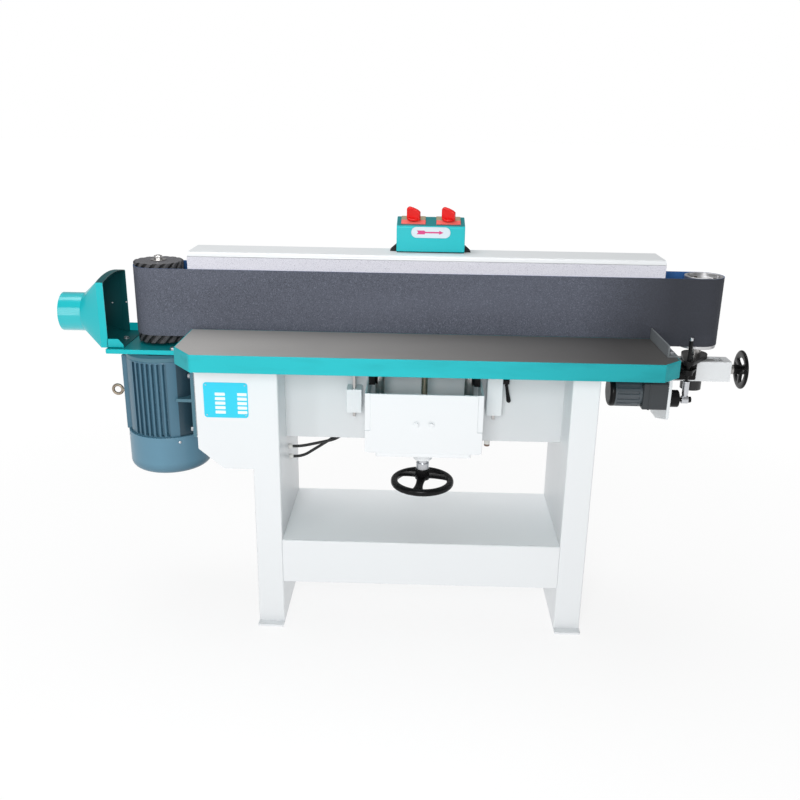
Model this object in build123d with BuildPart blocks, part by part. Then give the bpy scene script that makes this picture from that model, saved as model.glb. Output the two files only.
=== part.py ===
"""Oscillating edge sander: a long abrasive belt on two upright drums above a rise-and-fall table.

Millimetres, +Z up, X along the belt, -Y towards the operator. The origin lies on the floor
under the middle of the machine's box.
"""
import os
from math import atan2, cos, degrees, pi, radians, sin, sqrt

from build123d import *

os.makedirs("parts", exist_ok=True)

# Placement
stand_x = 57.5            # middle of the stand
belt_y = 30.0             # front face of the sanding belt
contact_gap = 0.3         # clear of a face that moves past
running_fit = 0.05        # radial clearance of a shaft in its bore

# Stand of folded sheet
sheet_t = 4.0
leg_gap = 740.0           # between the inner faces of the legs
leg_w = 70.0
leg_depth = 336.0
leg_setback = 158.0       # legs' front face ahead of the belt
stand_h = 720.0           # every drop and rise below is measured from this height
foot_reach = 22.0
foot_t = 6.0
shelf_z = 254.0
apron_h = 125.0
beam_setback = 40.0       # beam's front face ahead of the belt
beam_low_drop = 214.0
beam_floor_drop = 190.0
beam_depth = 104.0
head_t = 8.0
head_front = 4.0          # head plate's front edge ahead of the belt

# Cabinet on the left leg
cabinet_w = 140.0
cabinet_low_drop = 262.0
cabinet_wall = 3.0
cabinet_cut_x = 64.0
cabinet_cut_z = 54.0
data_plate_w = 113.0
data_plate_h = 94.0
data_plate_t = 1.0
data_plate_inset = 21.0   # from the cabinet's left edge
data_plate_drop = 74.0
data_plate_round = 8.0

# Belt and its drums
belt_w = 180.0
belt_t = 1.2
belt_rise = 49.0          # lower edge
drum_r = 65.0
drum_low = 23.0           # drum below the belt's lower edge
drum_high = 10.5          # drum above the belt's upper edge
drum_chamfer = 2.0
washer_r = 21.0
washer_t = 3.0
drum_nut_r = 11.0
drum_nut_h = 11.0
idler_r = 50.0
idler_low = 9.0
idler_reach = 286.5       # idler's axis beyond the right leg
idler_rim = 7.0
idler_recess = 12.0
bearing_t = 15.0
idler_bearing_r = 26.0
bearing_inset = 6.0
spacer_t = 6.0            # wall of the spacer between the idler's bearings

# Platen inside the belt
platen_gap_drive = 29.0   # to the drive drum
platen_gap_idler = 64.0   # to the idler drum
platen_depth = 80.0
platen_wall = 5.0
pad_t = 1.5
platen_top_rise = 273.0
lid_t = 12.0
lid_depth = 127.0
lid_round = 11.0
lid_sheet = 3.0

# Table
table_rise = 72.0         # top at rest
table_l = 1230.0
table_shift = -3.0        # table's middle from the stand's
table_gap = 10.0          # to the belt
table_depth = 250.0
table_edge = 43.5
table_plate = 20.0
table_wall = 16.0
cut_left_x = 54.0
cut_left_y = 70.0
cut_right_x = 46.0
cut_right_y = 43.0
rib_t = 12.0
rib_pitch = 310.0
boss_r = 26.0
fence_h = 30.0
fence_w = 27.0
fence_t = 4.0
fence_l = 176.0
fence_bolt_inset = 26.0
fence_inset = 7.0         # from the table's back edge
bolt_head_r = 6.5
bolt_head_h = 5.5

# Knee and lift
knee_w = 294.0
knee_reach = 165.0        # knee's front face ahead of the beam
knee_low_drop = 189.0
knee_top_drop = 33.0
knee_wall = 5.0
knee_step_w = 240.0
knee_step_t = 12.0
knee_notch_w = 13.5       # recess at each upper corner of the front wall
knee_notch_d = 3.0
knee_notch_drop = 130.0
lift_back = 80.0          # lift screw behind the knee's front face
post_pitch = 226.0
post_r = 12.0
post_low_drop = 154.0
guide_r = 17.0
guide_top_drop = 65.0
block_w = 16.0
block_d = 34.0
block_low_drop = 30.0
knee_boss_r = 24.5
knee_boss_low_drop = 233.0
screw_r = 8.0
screw_low_drop = 288.0
screw_nut_r = 14.0
screw_nut_h = 14.0
nut_r = 14.0
nut_neck_r = 13.0
nut_collar_r = 16.5
nut_collar_h = 16.0
nut_neck_h = 12.0
nut_flange_r = 22.0
nut_flange_h = 8.0
wheel_r = 83.0            # lift handwheel
wheel_rim_r = 9.0
wheel_hub_r = 19.0
wheel_hub_h = 30.0
wheel_dish = 23.0
spoke_w = 18.0
spoke_t = 10.0
knee_bolt_drop = 111.0
knee_bolt_pitch = 38.0

# Table clamps beside the knee
clamp_gap = 16.0          # knee's side to the bracket
clamp_w = 40.0
clamp_d = 46.0
clamp_low_drop = 126.0
clamp_left_top_drop = 62.0
clamp_right_top_drop = 16.0
bar_w = 24.0
bar_t = 8.0
bar_slack = 0.6
bar_low_drop = 140.0
lever_drop = 36.0
lever_screw_r = 5.0
lever_hub_r = 10.0
lever_hub_l = 18.0
lever_l = 62.0
lever_r = 6.0
lever_neck_r = 4.2
lever_droop = 10.0        # degrees out from upright

# Motor
motor_foot_h = 100.0
motor_pad_t = 36.0
motor_r = 105.0
motor_inner_r = 86.0
motor_low_drop = 230.0
motor_high_drop = 16.0
shield_t = 18.0
shield_chamfer = 8.0
groove_n = 7
groove_w = 7.0
groove_pitch = 14.7
groove_shift = -20.0      # middle of the grooves from the motor's axis
groove_d = 12.0
side_pad_t = 6.5          # plain pad on the left of the frame
side_pad_w = 72.0
cowl_r = 112.0
cowl_low_drop = 336.0
cowl_t = 2.0
cowl_round = 20.0
cowl_lap = 2.0            # cowl over the frame's lower end
grille_r = 50.0
grille_n = 16
grille_l = 50.0
grille_w = 7.0
shaft_r = 14.0
rotor_r = 55.0
stator_bore = 55.6
core_h = 130.0
foot_bolt_pitch = 151.0
foot_bolt_gauge = 160.0
foot_w = 42.0
foot_t_motor = 18.0
foot_l = 186.0
motor_mid_drop = 132.5    # middle of the feet
web_t = 9.0
web_rise = 11.5           # web above the middle of the feet
fan_r = 88.0
fan_t = 5.0
fan_blades = 7
fan_blade_h = 20.0
fan_blade_t = 4.0
fan_hub_t = 10.0
fan_drop = 24.0           # fan below the lower shield
motor_bearing_r = 31.0
bearing_w = 16.0
eye_r = 13.0
eye_wire = 4.0
eye_drop = 126.0
eye_neck_r = 5.0
eye_neck_l = 16.0
eye_collar_r = 9.0
eye_collar_l = 4.0

# Base plate and dust hood at the drive drum
base_t = 12.0
base_reach = 126.0        # plate's left end beyond the drum's axis
base_front = 43.0         # plate's front edge ahead of the belt
base_back = 79.0          # plate's back edge behind the drum's axis
base_lap = 112.0          # plate's lap over the cabinet
base_hole_r = 34.0
base_bolt_x = 36.0        # bolts from the notch and from the edges
base_bolt_y = 13.0
tray_bolt_x = 19.0        # tray's bolt from the mouth
hood_t = 2.0
hood_w = 185.0
hood_mouth = 123.0        # mouth's plane from the drum's axis
hood_h = 174.0
hood_arch = 11.0
hood_cone = 65.0
hood_collar = 18.0        # straight collar at the mouth
port_r = 52.0
port_l = 61.0
port_rise = 95.0
tray_l = 41.0
tray_lip = 24.0

# Switch box on the platen
switch_w = 179.0
switch_d = 74.0
switch_h = 69.0
switch_rise = 17.0
switch_front = 61.0       # front face behind the belt
switch_shift = 8.0        # box to the right of the stand's middle
switch_wall = 2.0
plate_w = 64.0
plate_d = 50.0
plate_t = 5.0
plate_pitch = 92.0
plate_hole_w = 38.0
plate_hole_d = 30.0
plate_bevel = 2.5
knob_w = 12.0
knob_l = 36.0
knob_h = 32.0
knob_base_r = 17.5
knob_base_h = 5.0
knob_stem_r = 4.0
knob_turn = -20.0         # fin from the box's length
switch_foot_w = 17.0
switch_foot_h = 16.0
switch_foot_t = 3.0
switch_foot_d = 30.0
label_w = 102.0
label_h = 28.0
label_t = 0.6
label_drop = 16.0

# Tension tube at the idler
tube_w = 55.0
tube_wall = 4.0
tube_low_drop = 53.0
tube_l = 382.0
tube_end_t = 8.0
slot_left = 43.0          # slot's ends from the idler's axis
slot_right = 74.0
slot_slack = 1.0
sleeve_r = 17.0
sleeve_low_drop = 80.0
sleeve_stand = 2.0        # sleeve above the tube
slide_left = 58.0
slide_right = 58.0
slide_travel = 25.0
neck_left = 54.0          # neck through the tube's front slot, from the idler's axis
neck_w = 34.0
neck_h = 16.0
spindle_r = 12.5
spindle_low_drop = 70.0
spindle_shoulder_r = 16.0
tension_r = 8.0
tension_engage = 37.0
tip_room = 2.0            # past the screw's tip in the slide
thrust_r = 13.0
thrust_l = 12.0
hand_r = 52.5             # tension handwheel
hand_rim_r = 10.0         # rim's section across and along the axis
hand_rim_x = 4.5
hand_hub_r = 13.0
hand_hub_l = 33.7
hand_cap = 6.0            # closed end of the hub
hand_set = 11.0           # rim's middle from the hub's end
hand_spoke_w = 14.0
hand_spoke_t = 9.0

# Oscillating drive beside the tube
stroke = 5.0
rod_dx = 36.5             # guide rod left of the spindle
rod_dy = 78.5             # guide rod ahead of the spindle
rod_r = 5.0
rod_top_rise = 81.0
rod_low_drop = 26.0
rod_round = 3.0
stud_r = 3.5
stud_low_drop = 49.0
arm_low_rise = 7.0
arm_t = 12.0
arm_hub_r = 34.0
arm_end_r = 14.0
arm_w = 22.0
lug_low_drop = 20.0
lug_t = 15.0
lug_w = 28.0
bracket_t = 9.0
bracket_h = 48.0
bracket_low_drop = 47.0
gusset_t = 6.0
crank_drop = 86.0
crank_r = 23.0
crank_round = 2.0
crank_l = 27.0
crank_gap = 4.0
crank_shaft_r = 7.5
pin_r = 5.0
pin_head_r = 8.5
pin_head_l = 8.0
eye_outer_r = 10.5
eye_w = 18.0
link_r = 8.5
link_bore_r = 6.5
link_top_drop = 37.0
link_bore_depth = 19.0
gear_plate_t = 8.0
gear_plate_left = 48.5    # plate's right face from the guide rod
gear_plate_low_drop = 130.0
gear_plate_top_drop = 4.0
gear_tail_low_drop = 160.0
gear_tail_gap = 7.0       # plate's tail below the tube
gearbox_w = 90.0
gearbox_h = 74.0
gearbox_l = 64.0
gearbox_round = 6.0
gearbox_rise = 17.5       # gearbox's middle above its output shaft
gear_motor_r = 40.0
gear_motor_l = 83.0
gear_motor_round = 8.0
crank_shaft_in = 28.0     # crank's shaft inside the gearbox

# Cables between the left leg and the beam
cable_r = 4.0
cable_bends = [
    [(36.0, 9.0, -102.0), (80.0, 8.0, -72.0), (124.0, 6.0, -42.0), (144.0, 5.0, -8.0)],
    [(32.0, -1.0, -68.0), (80.0, -3.0, -56.0), (132.0, -6.0, -42.0), (163.0, -7.0, -16.0)],
]                         # from the leg, the belt's front and the beam's floor
cable_tail = 12.0         # cable inside the leg and inside the beam
inlet_side = 47.0         # supply inlet from the leg
inlet_back = 60.0         # supply inlet from the cabinet's back
gland_r = 7.0
gland_l = 11.0
grommet_r = 6.5
gland_clear = 0.15
beam_gland_x = 176.0      # plugged gland under the beam, from the stand's middle
beam_gland_l = 54.0

# Derived places
low = (Align.MIN, Align.MIN, Align.MIN)
base = (Align.CENTER, Align.CENTER, Align.MIN)
top = (Align.CENTER, Align.CENTER, Align.MAX)
leftward = (Align.MAX, Align.CENTER, Align.CENTER)
rightward = (Align.MIN, Align.CENTER, Align.CENTER)
leg_in_l = stand_x - leg_gap / 2
leg_in_r = stand_x + leg_gap / 2
leg_out_l = leg_in_l - leg_w
leg_out_r = leg_in_r + leg_w
leg_front = belt_y - leg_setback
leg_back = leg_front + leg_depth
leg_mid_y = (leg_front + leg_back) / 2
head_z = stand_h + head_t
beam_low_z = stand_h - beam_low_drop
beam_floor_z = stand_h - beam_floor_drop
cabinet_low_z = stand_h - cabinet_low_drop
data_plate_z = stand_h - data_plate_drop
belt_z = stand_h + belt_rise
platen_top_z = stand_h + platen_top_rise
table_z = stand_h + table_rise
knee_low_z = stand_h - knee_low_drop
knee_top_z = stand_h - knee_top_drop
knee_notch_z = stand_h - knee_notch_drop
post_low_z = stand_h - post_low_drop
guide_top_z = stand_h - guide_top_drop
block_low_z = stand_h - block_low_drop
knee_boss_low_z = stand_h - knee_boss_low_drop
screw_low_z = stand_h - screw_low_drop
knee_bolt_z = stand_h - knee_bolt_drop
clamp_low_z = stand_h - clamp_low_drop
clamp_left_top_z = stand_h - clamp_left_top_drop
clamp_right_top_z = stand_h - clamp_right_top_drop
bar_low_z = stand_h - bar_low_drop
lever_z = stand_h - lever_drop
motor_low_z = stand_h - motor_low_drop
motor_high_z = stand_h - motor_high_drop
cowl_low_z = stand_h - cowl_low_drop
motor_mid_z = stand_h - motor_mid_drop
eye_z = stand_h - eye_drop
port_z = stand_h + port_rise
tube_low_z = stand_h - tube_low_drop
sleeve_low_z = stand_h - sleeve_low_drop
spindle_low_z = stand_h - spindle_low_drop
rod_top_z = stand_h + rod_top_rise
rod_low_z = stand_h - rod_low_drop
stud_low_z = stand_h - stud_low_drop
arm_low_z = stand_h + arm_low_rise
lug_low_z = stand_h - lug_low_drop
bracket_low_z = stand_h - bracket_low_drop
crank_z = stand_h - crank_drop
link_top_z = stand_h - link_top_drop
gear_plate_low_z = stand_h - gear_plate_low_drop
gear_plate_top_z = stand_h - gear_plate_top_drop
gear_tail_low_z = stand_h - gear_tail_low_drop
beam_front = belt_y - beam_setback
cabinet_x = leg_out_l - cabinet_w
drive_x = cabinet_x - motor_pad_t - motor_foot_h
drive_y = belt_y + belt_t + contact_gap + drum_r
idler_x = leg_out_r + idler_reach
idler_y = belt_y + belt_t + contact_gap + idler_r
belt_top = belt_z + belt_w
table_back = belt_y - table_gap
table_front = table_back - table_depth
table_x0 = stand_x + table_shift - table_l / 2
table_x1 = stand_x + table_shift + table_l / 2
table_under = table_z - table_plate
table_low = table_z - table_edge
table_hollow = table_edge - table_plate
table_mid_y = (table_back + table_front) / 2
knee_front = beam_front - knee_reach
lift_y = knee_front + lift_back
cable_holes = [(belt_y + bends[0][1], beam_floor_z + bends[0][2]) for bends in cable_bends]
cable_exits = [(leg_in_l + bends[-1][0], belt_y + bends[-1][1]) for bends in cable_bends]

# Legs: open-bottomed boxes with a foot flange front and back
leg_xs = {"leg_left": leg_in_l - leg_w / 2, "leg_right": leg_in_r + leg_w / 2}
for leg_name, leg_x in leg_xs.items():
    with BuildPart() as leg:
        with BuildSketch(Plane.XY):
            with Locations((leg_x, leg_mid_y)):
                Rectangle(leg_w, leg_depth)
                Rectangle(leg_w - 2 * sheet_t, leg_depth - 2 * sheet_t, mode=Mode.SUBTRACT)
        extrude(amount=stand_h)
        with Locations((leg_x, leg_mid_y, stand_h)):
            Box(leg_w, leg_depth, sheet_t, align=top)
        with Locations((leg_x, leg_front - foot_reach / 2, 0), (leg_x, leg_back + foot_reach / 2, 0)):
            Box(leg_w, foot_reach, foot_t, align=base)
        with Locations(*[(leg_in_l, y, z) for y, z in cable_holes]):
            Cylinder(grommet_r, 2 * sheet_t + gland_clear, rotation=(0, 90, 0), mode=Mode.SUBTRACT)
    leg.part.label = leg_name
    export_step(leg.part, f"parts/{leg_name}.step")

# Shelf plate behind a deep front apron
with BuildPart() as shelf_plate:
    with Locations((leg_in_l, leg_front + sheet_t, shelf_z - sheet_t)):
        Box(leg_gap, leg_depth - sheet_t, sheet_t, align=low)
shelf_plate.part.label = "shelf_plate"
export_step(shelf_plate.part, "parts/shelf_plate.step")

with BuildPart() as front_apron:
    with Locations((leg_in_l, leg_front, shelf_z - apron_h)):
        Box(leg_gap, sheet_t, apron_h, align=low)
front_apron.part.label = "front_apron"
export_step(front_apron.part, "parts/front_apron.step")

# Upper beam: a channel between the legs whose front face hangs below its floor
with BuildPart() as upper_beam:
    with Locations((leg_in_l, beam_front, beam_low_z)):
        Box(leg_gap, sheet_t, stand_h - beam_low_z, align=low)
    with Locations((leg_in_l, beam_front, beam_floor_z)):
        Box(leg_gap, beam_depth, sheet_t, align=low)
    with Locations((leg_in_l, beam_front + beam_depth - sheet_t, beam_floor_z)):
        Box(leg_gap, sheet_t, stand_h - beam_floor_z, align=low)
    with Locations(*[(x, y, beam_floor_z + sheet_t / 2) for x, y in cable_exits]):
        Cylinder(grommet_r, 2 * sheet_t, mode=Mode.SUBTRACT)
upper_beam.part.label = "upper_beam"
export_step(upper_beam.part, "parts/upper_beam.step")

# Head plate on top of the legs, beam and cabinet; it carries the platen and the base plate
with BuildPart() as head_plate:
    with Locations((cabinet_x, belt_y - head_front, stand_h)):
        Box(leg_out_r - cabinet_x, leg_back - belt_y + head_front, head_t, align=low)
head_plate.part.label = "head_plate"
export_step(head_plate.part, "parts/head_plate.step")

# Cabinet with a cut lower left corner and the two rails that the motor's feet bolt to
foot_y = [drive_y - foot_bolt_gauge / 2, drive_y + foot_bolt_gauge / 2]
with BuildPart() as cabinet:
    with BuildSketch(Plane.XZ.offset(-leg_front)) as cabinet_outline:
        with BuildLine():
            Polyline(
                (cabinet_x, stand_h),
                (leg_out_l, stand_h),
                (leg_out_l, cabinet_low_z),
                (cabinet_x + cabinet_cut_x, cabinet_low_z),
                (cabinet_x, cabinet_low_z + cabinet_cut_z),
                close=True,
            )
        make_face()
    extrude(amount=-leg_depth)
    with BuildSketch(Plane.XZ.offset(-leg_front - cabinet_wall)):
        add(cabinet_outline.sketch.face())
        offset(amount=-cabinet_wall, mode=Mode.REPLACE)
    extrude(amount=-(leg_depth - 2 * cabinet_wall), mode=Mode.SUBTRACT)
    with Locations(*[(cabinet_x, y, motor_mid_z) for y in foot_y]):
        Box(motor_pad_t, foot_w, foot_l, align=leftward)
    with Locations((leg_out_l - inlet_side, leg_back - inlet_back, cabinet_low_z)):
        Cylinder(grommet_r, 4 * cabinet_wall, mode=Mode.SUBTRACT)
cabinet.part.label = "cabinet"
export_step(cabinet.part, "parts/cabinet.step")

with BuildPart() as data_plate:
    with BuildSketch(Plane.XZ.offset(-leg_front)):
        with Locations((cabinet_x + data_plate_inset + data_plate_w / 2, data_plate_z)):
            RectangleRounded(data_plate_w, data_plate_h, data_plate_round)
    extrude(amount=data_plate_t)
data_plate.part.label = "data_plate"
export_step(data_plate.part, "parts/data_plate.step")

# Knee box on the beam, with its guide tubes, step plate and screw boss
post_x = [stand_x - post_pitch / 2, stand_x + post_pitch / 2]
knee_sides = [stand_x - knee_w / 2, stand_x + knee_w / 2]
nut_seat_z = knee_low_z + knee_wall
with BuildPart() as knee_box:
    with Locations((stand_x, knee_front, knee_low_z)):
        Box(knee_w, knee_reach, knee_top_z - knee_low_z, align=(Align.CENTER, Align.MIN, Align.MIN))
    with Locations((stand_x, knee_front + knee_wall, knee_low_z + knee_wall)):
        Box(
            knee_w - 2 * knee_wall,
            knee_reach - 2 * knee_wall,
            knee_top_z - knee_low_z,
            align=(Align.CENTER, Align.MIN, Align.MIN),
            mode=Mode.SUBTRACT,
        )
    with Locations(*[(x, knee_front, knee_notch_z) for x in knee_sides]):
        Box(2 * knee_notch_w, 2 * knee_notch_d, knee_top_z - knee_notch_z, align=base, mode=Mode.SUBTRACT)
    with Locations((stand_x, knee_front + knee_wall, knee_low_z)):
        Box(knee_step_w, knee_reach - knee_wall, knee_step_t, align=(Align.CENTER, Align.MIN, Align.MAX))
    with Locations(*[(x, lift_y, knee_low_z) for x in post_x]):
        Cylinder(guide_r, guide_top_z - knee_low_z, align=base)
    with Locations((stand_x, lift_y, knee_boss_low_z)):
        Cylinder(knee_boss_r, knee_low_z - knee_boss_low_z, align=base)
        Cylinder(nut_r + running_fit, nut_seat_z - knee_boss_low_z, align=base, mode=Mode.SUBTRACT)
    with Locations(*[(x, lift_y, knee_low_z + knee_wall) for x in post_x]):
        Cylinder(post_r + running_fit, guide_top_z - knee_low_z, align=base, mode=Mode.SUBTRACT)
knee_box.part.label = "knee_box"
export_step(knee_box.part, "parts/knee_box.step")

# Clamp brackets on the beam, each with an upright slot for a table bar
bracket_y = beam_front - clamp_d / 2
clamp_x = [stand_x - knee_w / 2 - clamp_gap - clamp_w / 2, stand_x + knee_w / 2 + clamp_gap + clamp_w / 2]
with BuildPart() as clamp_brackets:
    with Locations((clamp_x[0], bracket_y, clamp_low_z)):
        Box(clamp_w, clamp_d, clamp_left_top_z - clamp_low_z, align=base)
    with Locations((clamp_x[1], bracket_y, clamp_low_z)):
        Box(clamp_w, clamp_d, clamp_right_top_z - clamp_low_z, align=base)
    with Locations(*[(x, bracket_y, clamp_low_z) for x in clamp_x]):
        Box(bar_t + 2 * bar_slack, bar_w + 2 * bar_slack, stand_h, align=base, mode=Mode.SUBTRACT)
    with Locations((clamp_x[1], bracket_y, lever_z)):
        Cylinder(
            lever_screw_r + running_fit,
            clamp_w,
            rotation=(0, 90, 0),
            align=base,
            mode=Mode.SUBTRACT,
        )
clamp_brackets.part.label = "clamp_brackets"
export_step(clamp_brackets.part, "parts/clamp_brackets.step")

# Base plate under the drive drum and the hood, notched to clear the table
base_x0 = drive_x - base_reach
base_x1 = cabinet_x + base_lap
base_step_x = table_x0 - table_gap
base_low = head_z
base_top = head_z + base_t
base_y0 = belt_y - base_front
base_y1 = drive_y + base_back
with BuildPart() as base_plate:
    with BuildSketch(Plane.XY.offset(base_low)):
        with BuildLine():
            Polyline(
                (base_x0, base_y0),
                (base_step_x, base_y0),
                (base_step_x, belt_y - head_front),
                (base_x1, belt_y - head_front),
                (base_x1, base_y1),
                (base_x0, base_y1),
                close=True,
            )
        make_face()
        with Locations((drive_x, drive_y)):
            Circle(base_hole_r, mode=Mode.SUBTRACT)
    extrude(amount=base_t)
base_plate.part.label = "base_plate"
export_step(base_plate.part, "parts/base_plate.step")

# Dust hood: round port, cone to an arched mouth beside the drum, and a tray under it
hood_mouth_x = drive_x - hood_mouth
hood_collar_x = hood_mouth_x - hood_collar
hood_cone_x = hood_collar_x - hood_cone
hood_port_x = hood_cone_x - port_l
hood_low = base_top
mouth_mid_z = hood_low + hood_h / 2


def mouth_points(w, h):
    """Sixteen points round the arched mouth, from +Y, counter-clockwise seen from +X."""
    side = [(w / 2, 0), (w / 2, h / 4), (w / 2, h / 2)]
    crown = [(w / 4, h / 2 + 0.75 * hood_arch), (0, h / 2 + hood_arch), (-w / 4, h / 2 + 0.75 * hood_arch)]
    back = [(-w / 2, h / 2), (-w / 2, h / 4), (-w / 2, 0), (-w / 2, -h / 4), (-w / 2, -h / 2)]
    floor = [(-w / 4, -h / 2), (0, -h / 2), (w / 4, -h / 2), (w / 2, -h / 2), (w / 2, -h / 4)]
    return [(drive_y + y, mouth_mid_z + z) for y, z in side + crown + back + floor]


def round_points(r):
    """Sixteen points round the port in step with the mouth's points."""
    turns = [pi / 8 * k for k in range(16)]
    return [(drive_y + r * cos(a), port_z + r * sin(a)) for a in turns]


with BuildPart() as dust_hood:
    with BuildSketch(Plane.YZ.offset(hood_cone_x)):
        with BuildLine():
            Polyline(*round_points(port_r), close=True)
        make_face()
    with BuildSketch(Plane.YZ.offset(hood_collar_x)):
        with BuildLine():
            Polyline(*mouth_points(hood_w, hood_h), close=True)
        make_face()
    loft(ruled=True)
    with BuildSketch(Plane.YZ.offset(hood_collar_x)):
        with BuildLine():
            Polyline(*mouth_points(hood_w, hood_h), close=True)
        make_face()
    extrude(amount=hood_collar)
    with BuildSketch(Plane.YZ.offset(hood_port_x)):
        with Locations((drive_y, port_z)):
            Circle(port_r)
    extrude(amount=port_l)
    with BuildSketch(Plane.YZ.offset(hood_cone_x)):
        with BuildLine():
            Polyline(*round_points(port_r - hood_t), close=True)
        make_face()
    with BuildSketch(Plane.YZ.offset(hood_collar_x)):
        with BuildLine():
            Polyline(*mouth_points(hood_w - 2 * hood_t, hood_h - 2 * hood_t), close=True)
        make_face()
    loft(ruled=True, mode=Mode.SUBTRACT)
    with BuildSketch(Plane.YZ.offset(hood_collar_x)):
        with BuildLine():
            Polyline(*mouth_points(hood_w - 2 * hood_t, hood_h - 2 * hood_t), close=True)
        make_face()
    extrude(amount=hood_collar, mode=Mode.SUBTRACT)
    with BuildSketch(Plane.YZ.offset(hood_port_x)):
        with Locations((drive_y, port_z)):
            Circle(port_r - hood_t)
    extrude(amount=port_l, mode=Mode.SUBTRACT)
    with Locations((hood_mouth_x, drive_y, hood_low)):
        Box(tray_l, hood_w, hood_t, align=(Align.MIN, Align.CENTER, Align.MIN))
    with Locations(
        (hood_mouth_x, drive_y - hood_w / 2 + hood_t / 2, hood_low),
        (hood_mouth_x, drive_y + hood_w / 2 - hood_t / 2, hood_low),
    ):
        Box(tray_l, hood_t, tray_lip, align=(Align.MIN, Align.CENTER, Align.MIN))
dust_hood.part.label = "dust_hood"
export_step(dust_hood.part, "parts/dust_hood.step")

# Platen: a hollow beam inside the belt, a slick front pad and a lid with a rounded front edge
platen_x0 = drive_x + drum_r + platen_gap_drive
platen_x1 = idler_x - idler_r - platen_gap_idler
platen_l = platen_x1 - platen_x0
pad_y = belt_y + belt_t + contact_gap
platen_y = pad_y + pad_t
lid_low = platen_top_z - lid_t
lid_y1 = belt_y + lid_depth
with BuildPart() as platen_beam:
    with Locations((platen_x0, platen_y, head_z)):
        Box(platen_l, platen_depth, lid_low - head_z, align=low)
    with Locations((platen_x0 + platen_wall, platen_y + platen_wall, head_z)):
        Box(
            platen_l - 2 * platen_wall,
            platen_depth - 2 * platen_wall,
            lid_low - head_z - platen_wall,
            align=low,
            mode=Mode.SUBTRACT,
        )
    with Locations((platen_x0, platen_y, head_z)):
        Box(base_x1 + contact_gap - platen_x0, platen_depth, base_t, align=low, mode=Mode.SUBTRACT)
platen_beam.part.label = "platen_beam"
export_step(platen_beam.part, "parts/platen_beam.step")

with BuildPart() as platen_pad:
    with Locations((platen_x0, pad_y, belt_z - drum_low)):
        Box(platen_l, pad_t, lid_low - belt_z + drum_low, align=low)
platen_pad.part.label = "platen_pad"
export_step(platen_pad.part, "parts/platen_pad.step")

with BuildPart() as platen_lid:
    with Locations((platen_x0, pad_y, lid_low)):
        Box(platen_l, lid_y1 - pad_y, lid_t, align=low)
    fillet(platen_lid.edges().filter_by(Axis.X).group_by(Axis.Z)[-1].sort_by(Axis.Y)[0], lid_round)
    with Locations((platen_x0 + lid_sheet, platen_y + platen_depth, lid_low)):
        Box(
            platen_l - 2 * lid_sheet,
            lid_y1 - lid_sheet - platen_y - platen_depth,
            lid_t - lid_sheet,
            align=low,
            mode=Mode.SUBTRACT,
        )
platen_lid.part.label = "platen_lid"
export_step(platen_lid.part, "parts/platen_lid.step")

# Sanding belt: straight front run, a wrap round each drum, and the slanting back run
centre_dx = idler_x - drive_x
centre_dy = idler_y - drive_y
centre_l = sqrt(centre_dx**2 + centre_dy**2)
lean = (drum_r - idler_r) / centre_l
ux = centre_dx / centre_l
uy = centre_dy / centre_l
back_nx = ux * lean - uy * sqrt(1 - lean**2)
back_ny = uy * lean + ux * sqrt(1 - lean**2)
back_turn = atan2(back_ny, back_nx)


def belt_loop(extra):
    """Lines and arcs of the loop at a radial distance outside the drums' faces."""
    rd = drum_r + extra
    ri = idler_r + extra
    drive_back = (drive_x + rd * back_nx, drive_y + rd * back_ny)
    idler_back = (idler_x + ri * back_nx, idler_y + ri * back_ny)
    drive_front = (drive_x, drive_y - rd)
    idler_front = (idler_x, idler_y - ri)
    half_i = (back_turn - pi / 2) / 2
    half_d = (back_turn + 3 * pi / 2) / 2
    idler_far = (idler_x + ri * cos(half_i), idler_y + ri * sin(half_i))
    drive_far = (drive_x + rd * cos(half_d), drive_y + rd * sin(half_d))
    return drive_front, idler_front, idler_far, idler_back, drive_back, drive_far


with BuildPart() as sanding_belt:
    with BuildSketch(Plane.XY.offset(belt_z)):
        with BuildLine():
            p = belt_loop(contact_gap + belt_t)
            Line(p[0], p[1])
            ThreePointArc(p[1], p[2], p[3])
            Line(p[3], p[4])
            ThreePointArc(p[4], p[5], p[0])
        make_face()
        with BuildLine():
            q = belt_loop(contact_gap)
            Line(q[0], q[1])
            ThreePointArc(q[1], q[2], q[3])
            Line(q[3], q[4])
            ThreePointArc(q[4], q[5], q[0])
        make_face(mode=Mode.SUBTRACT)
    extrude(amount=belt_w)
sanding_belt.part.label = "sanding_belt"
export_step(sanding_belt.part, "parts/sanding_belt.step")

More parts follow.
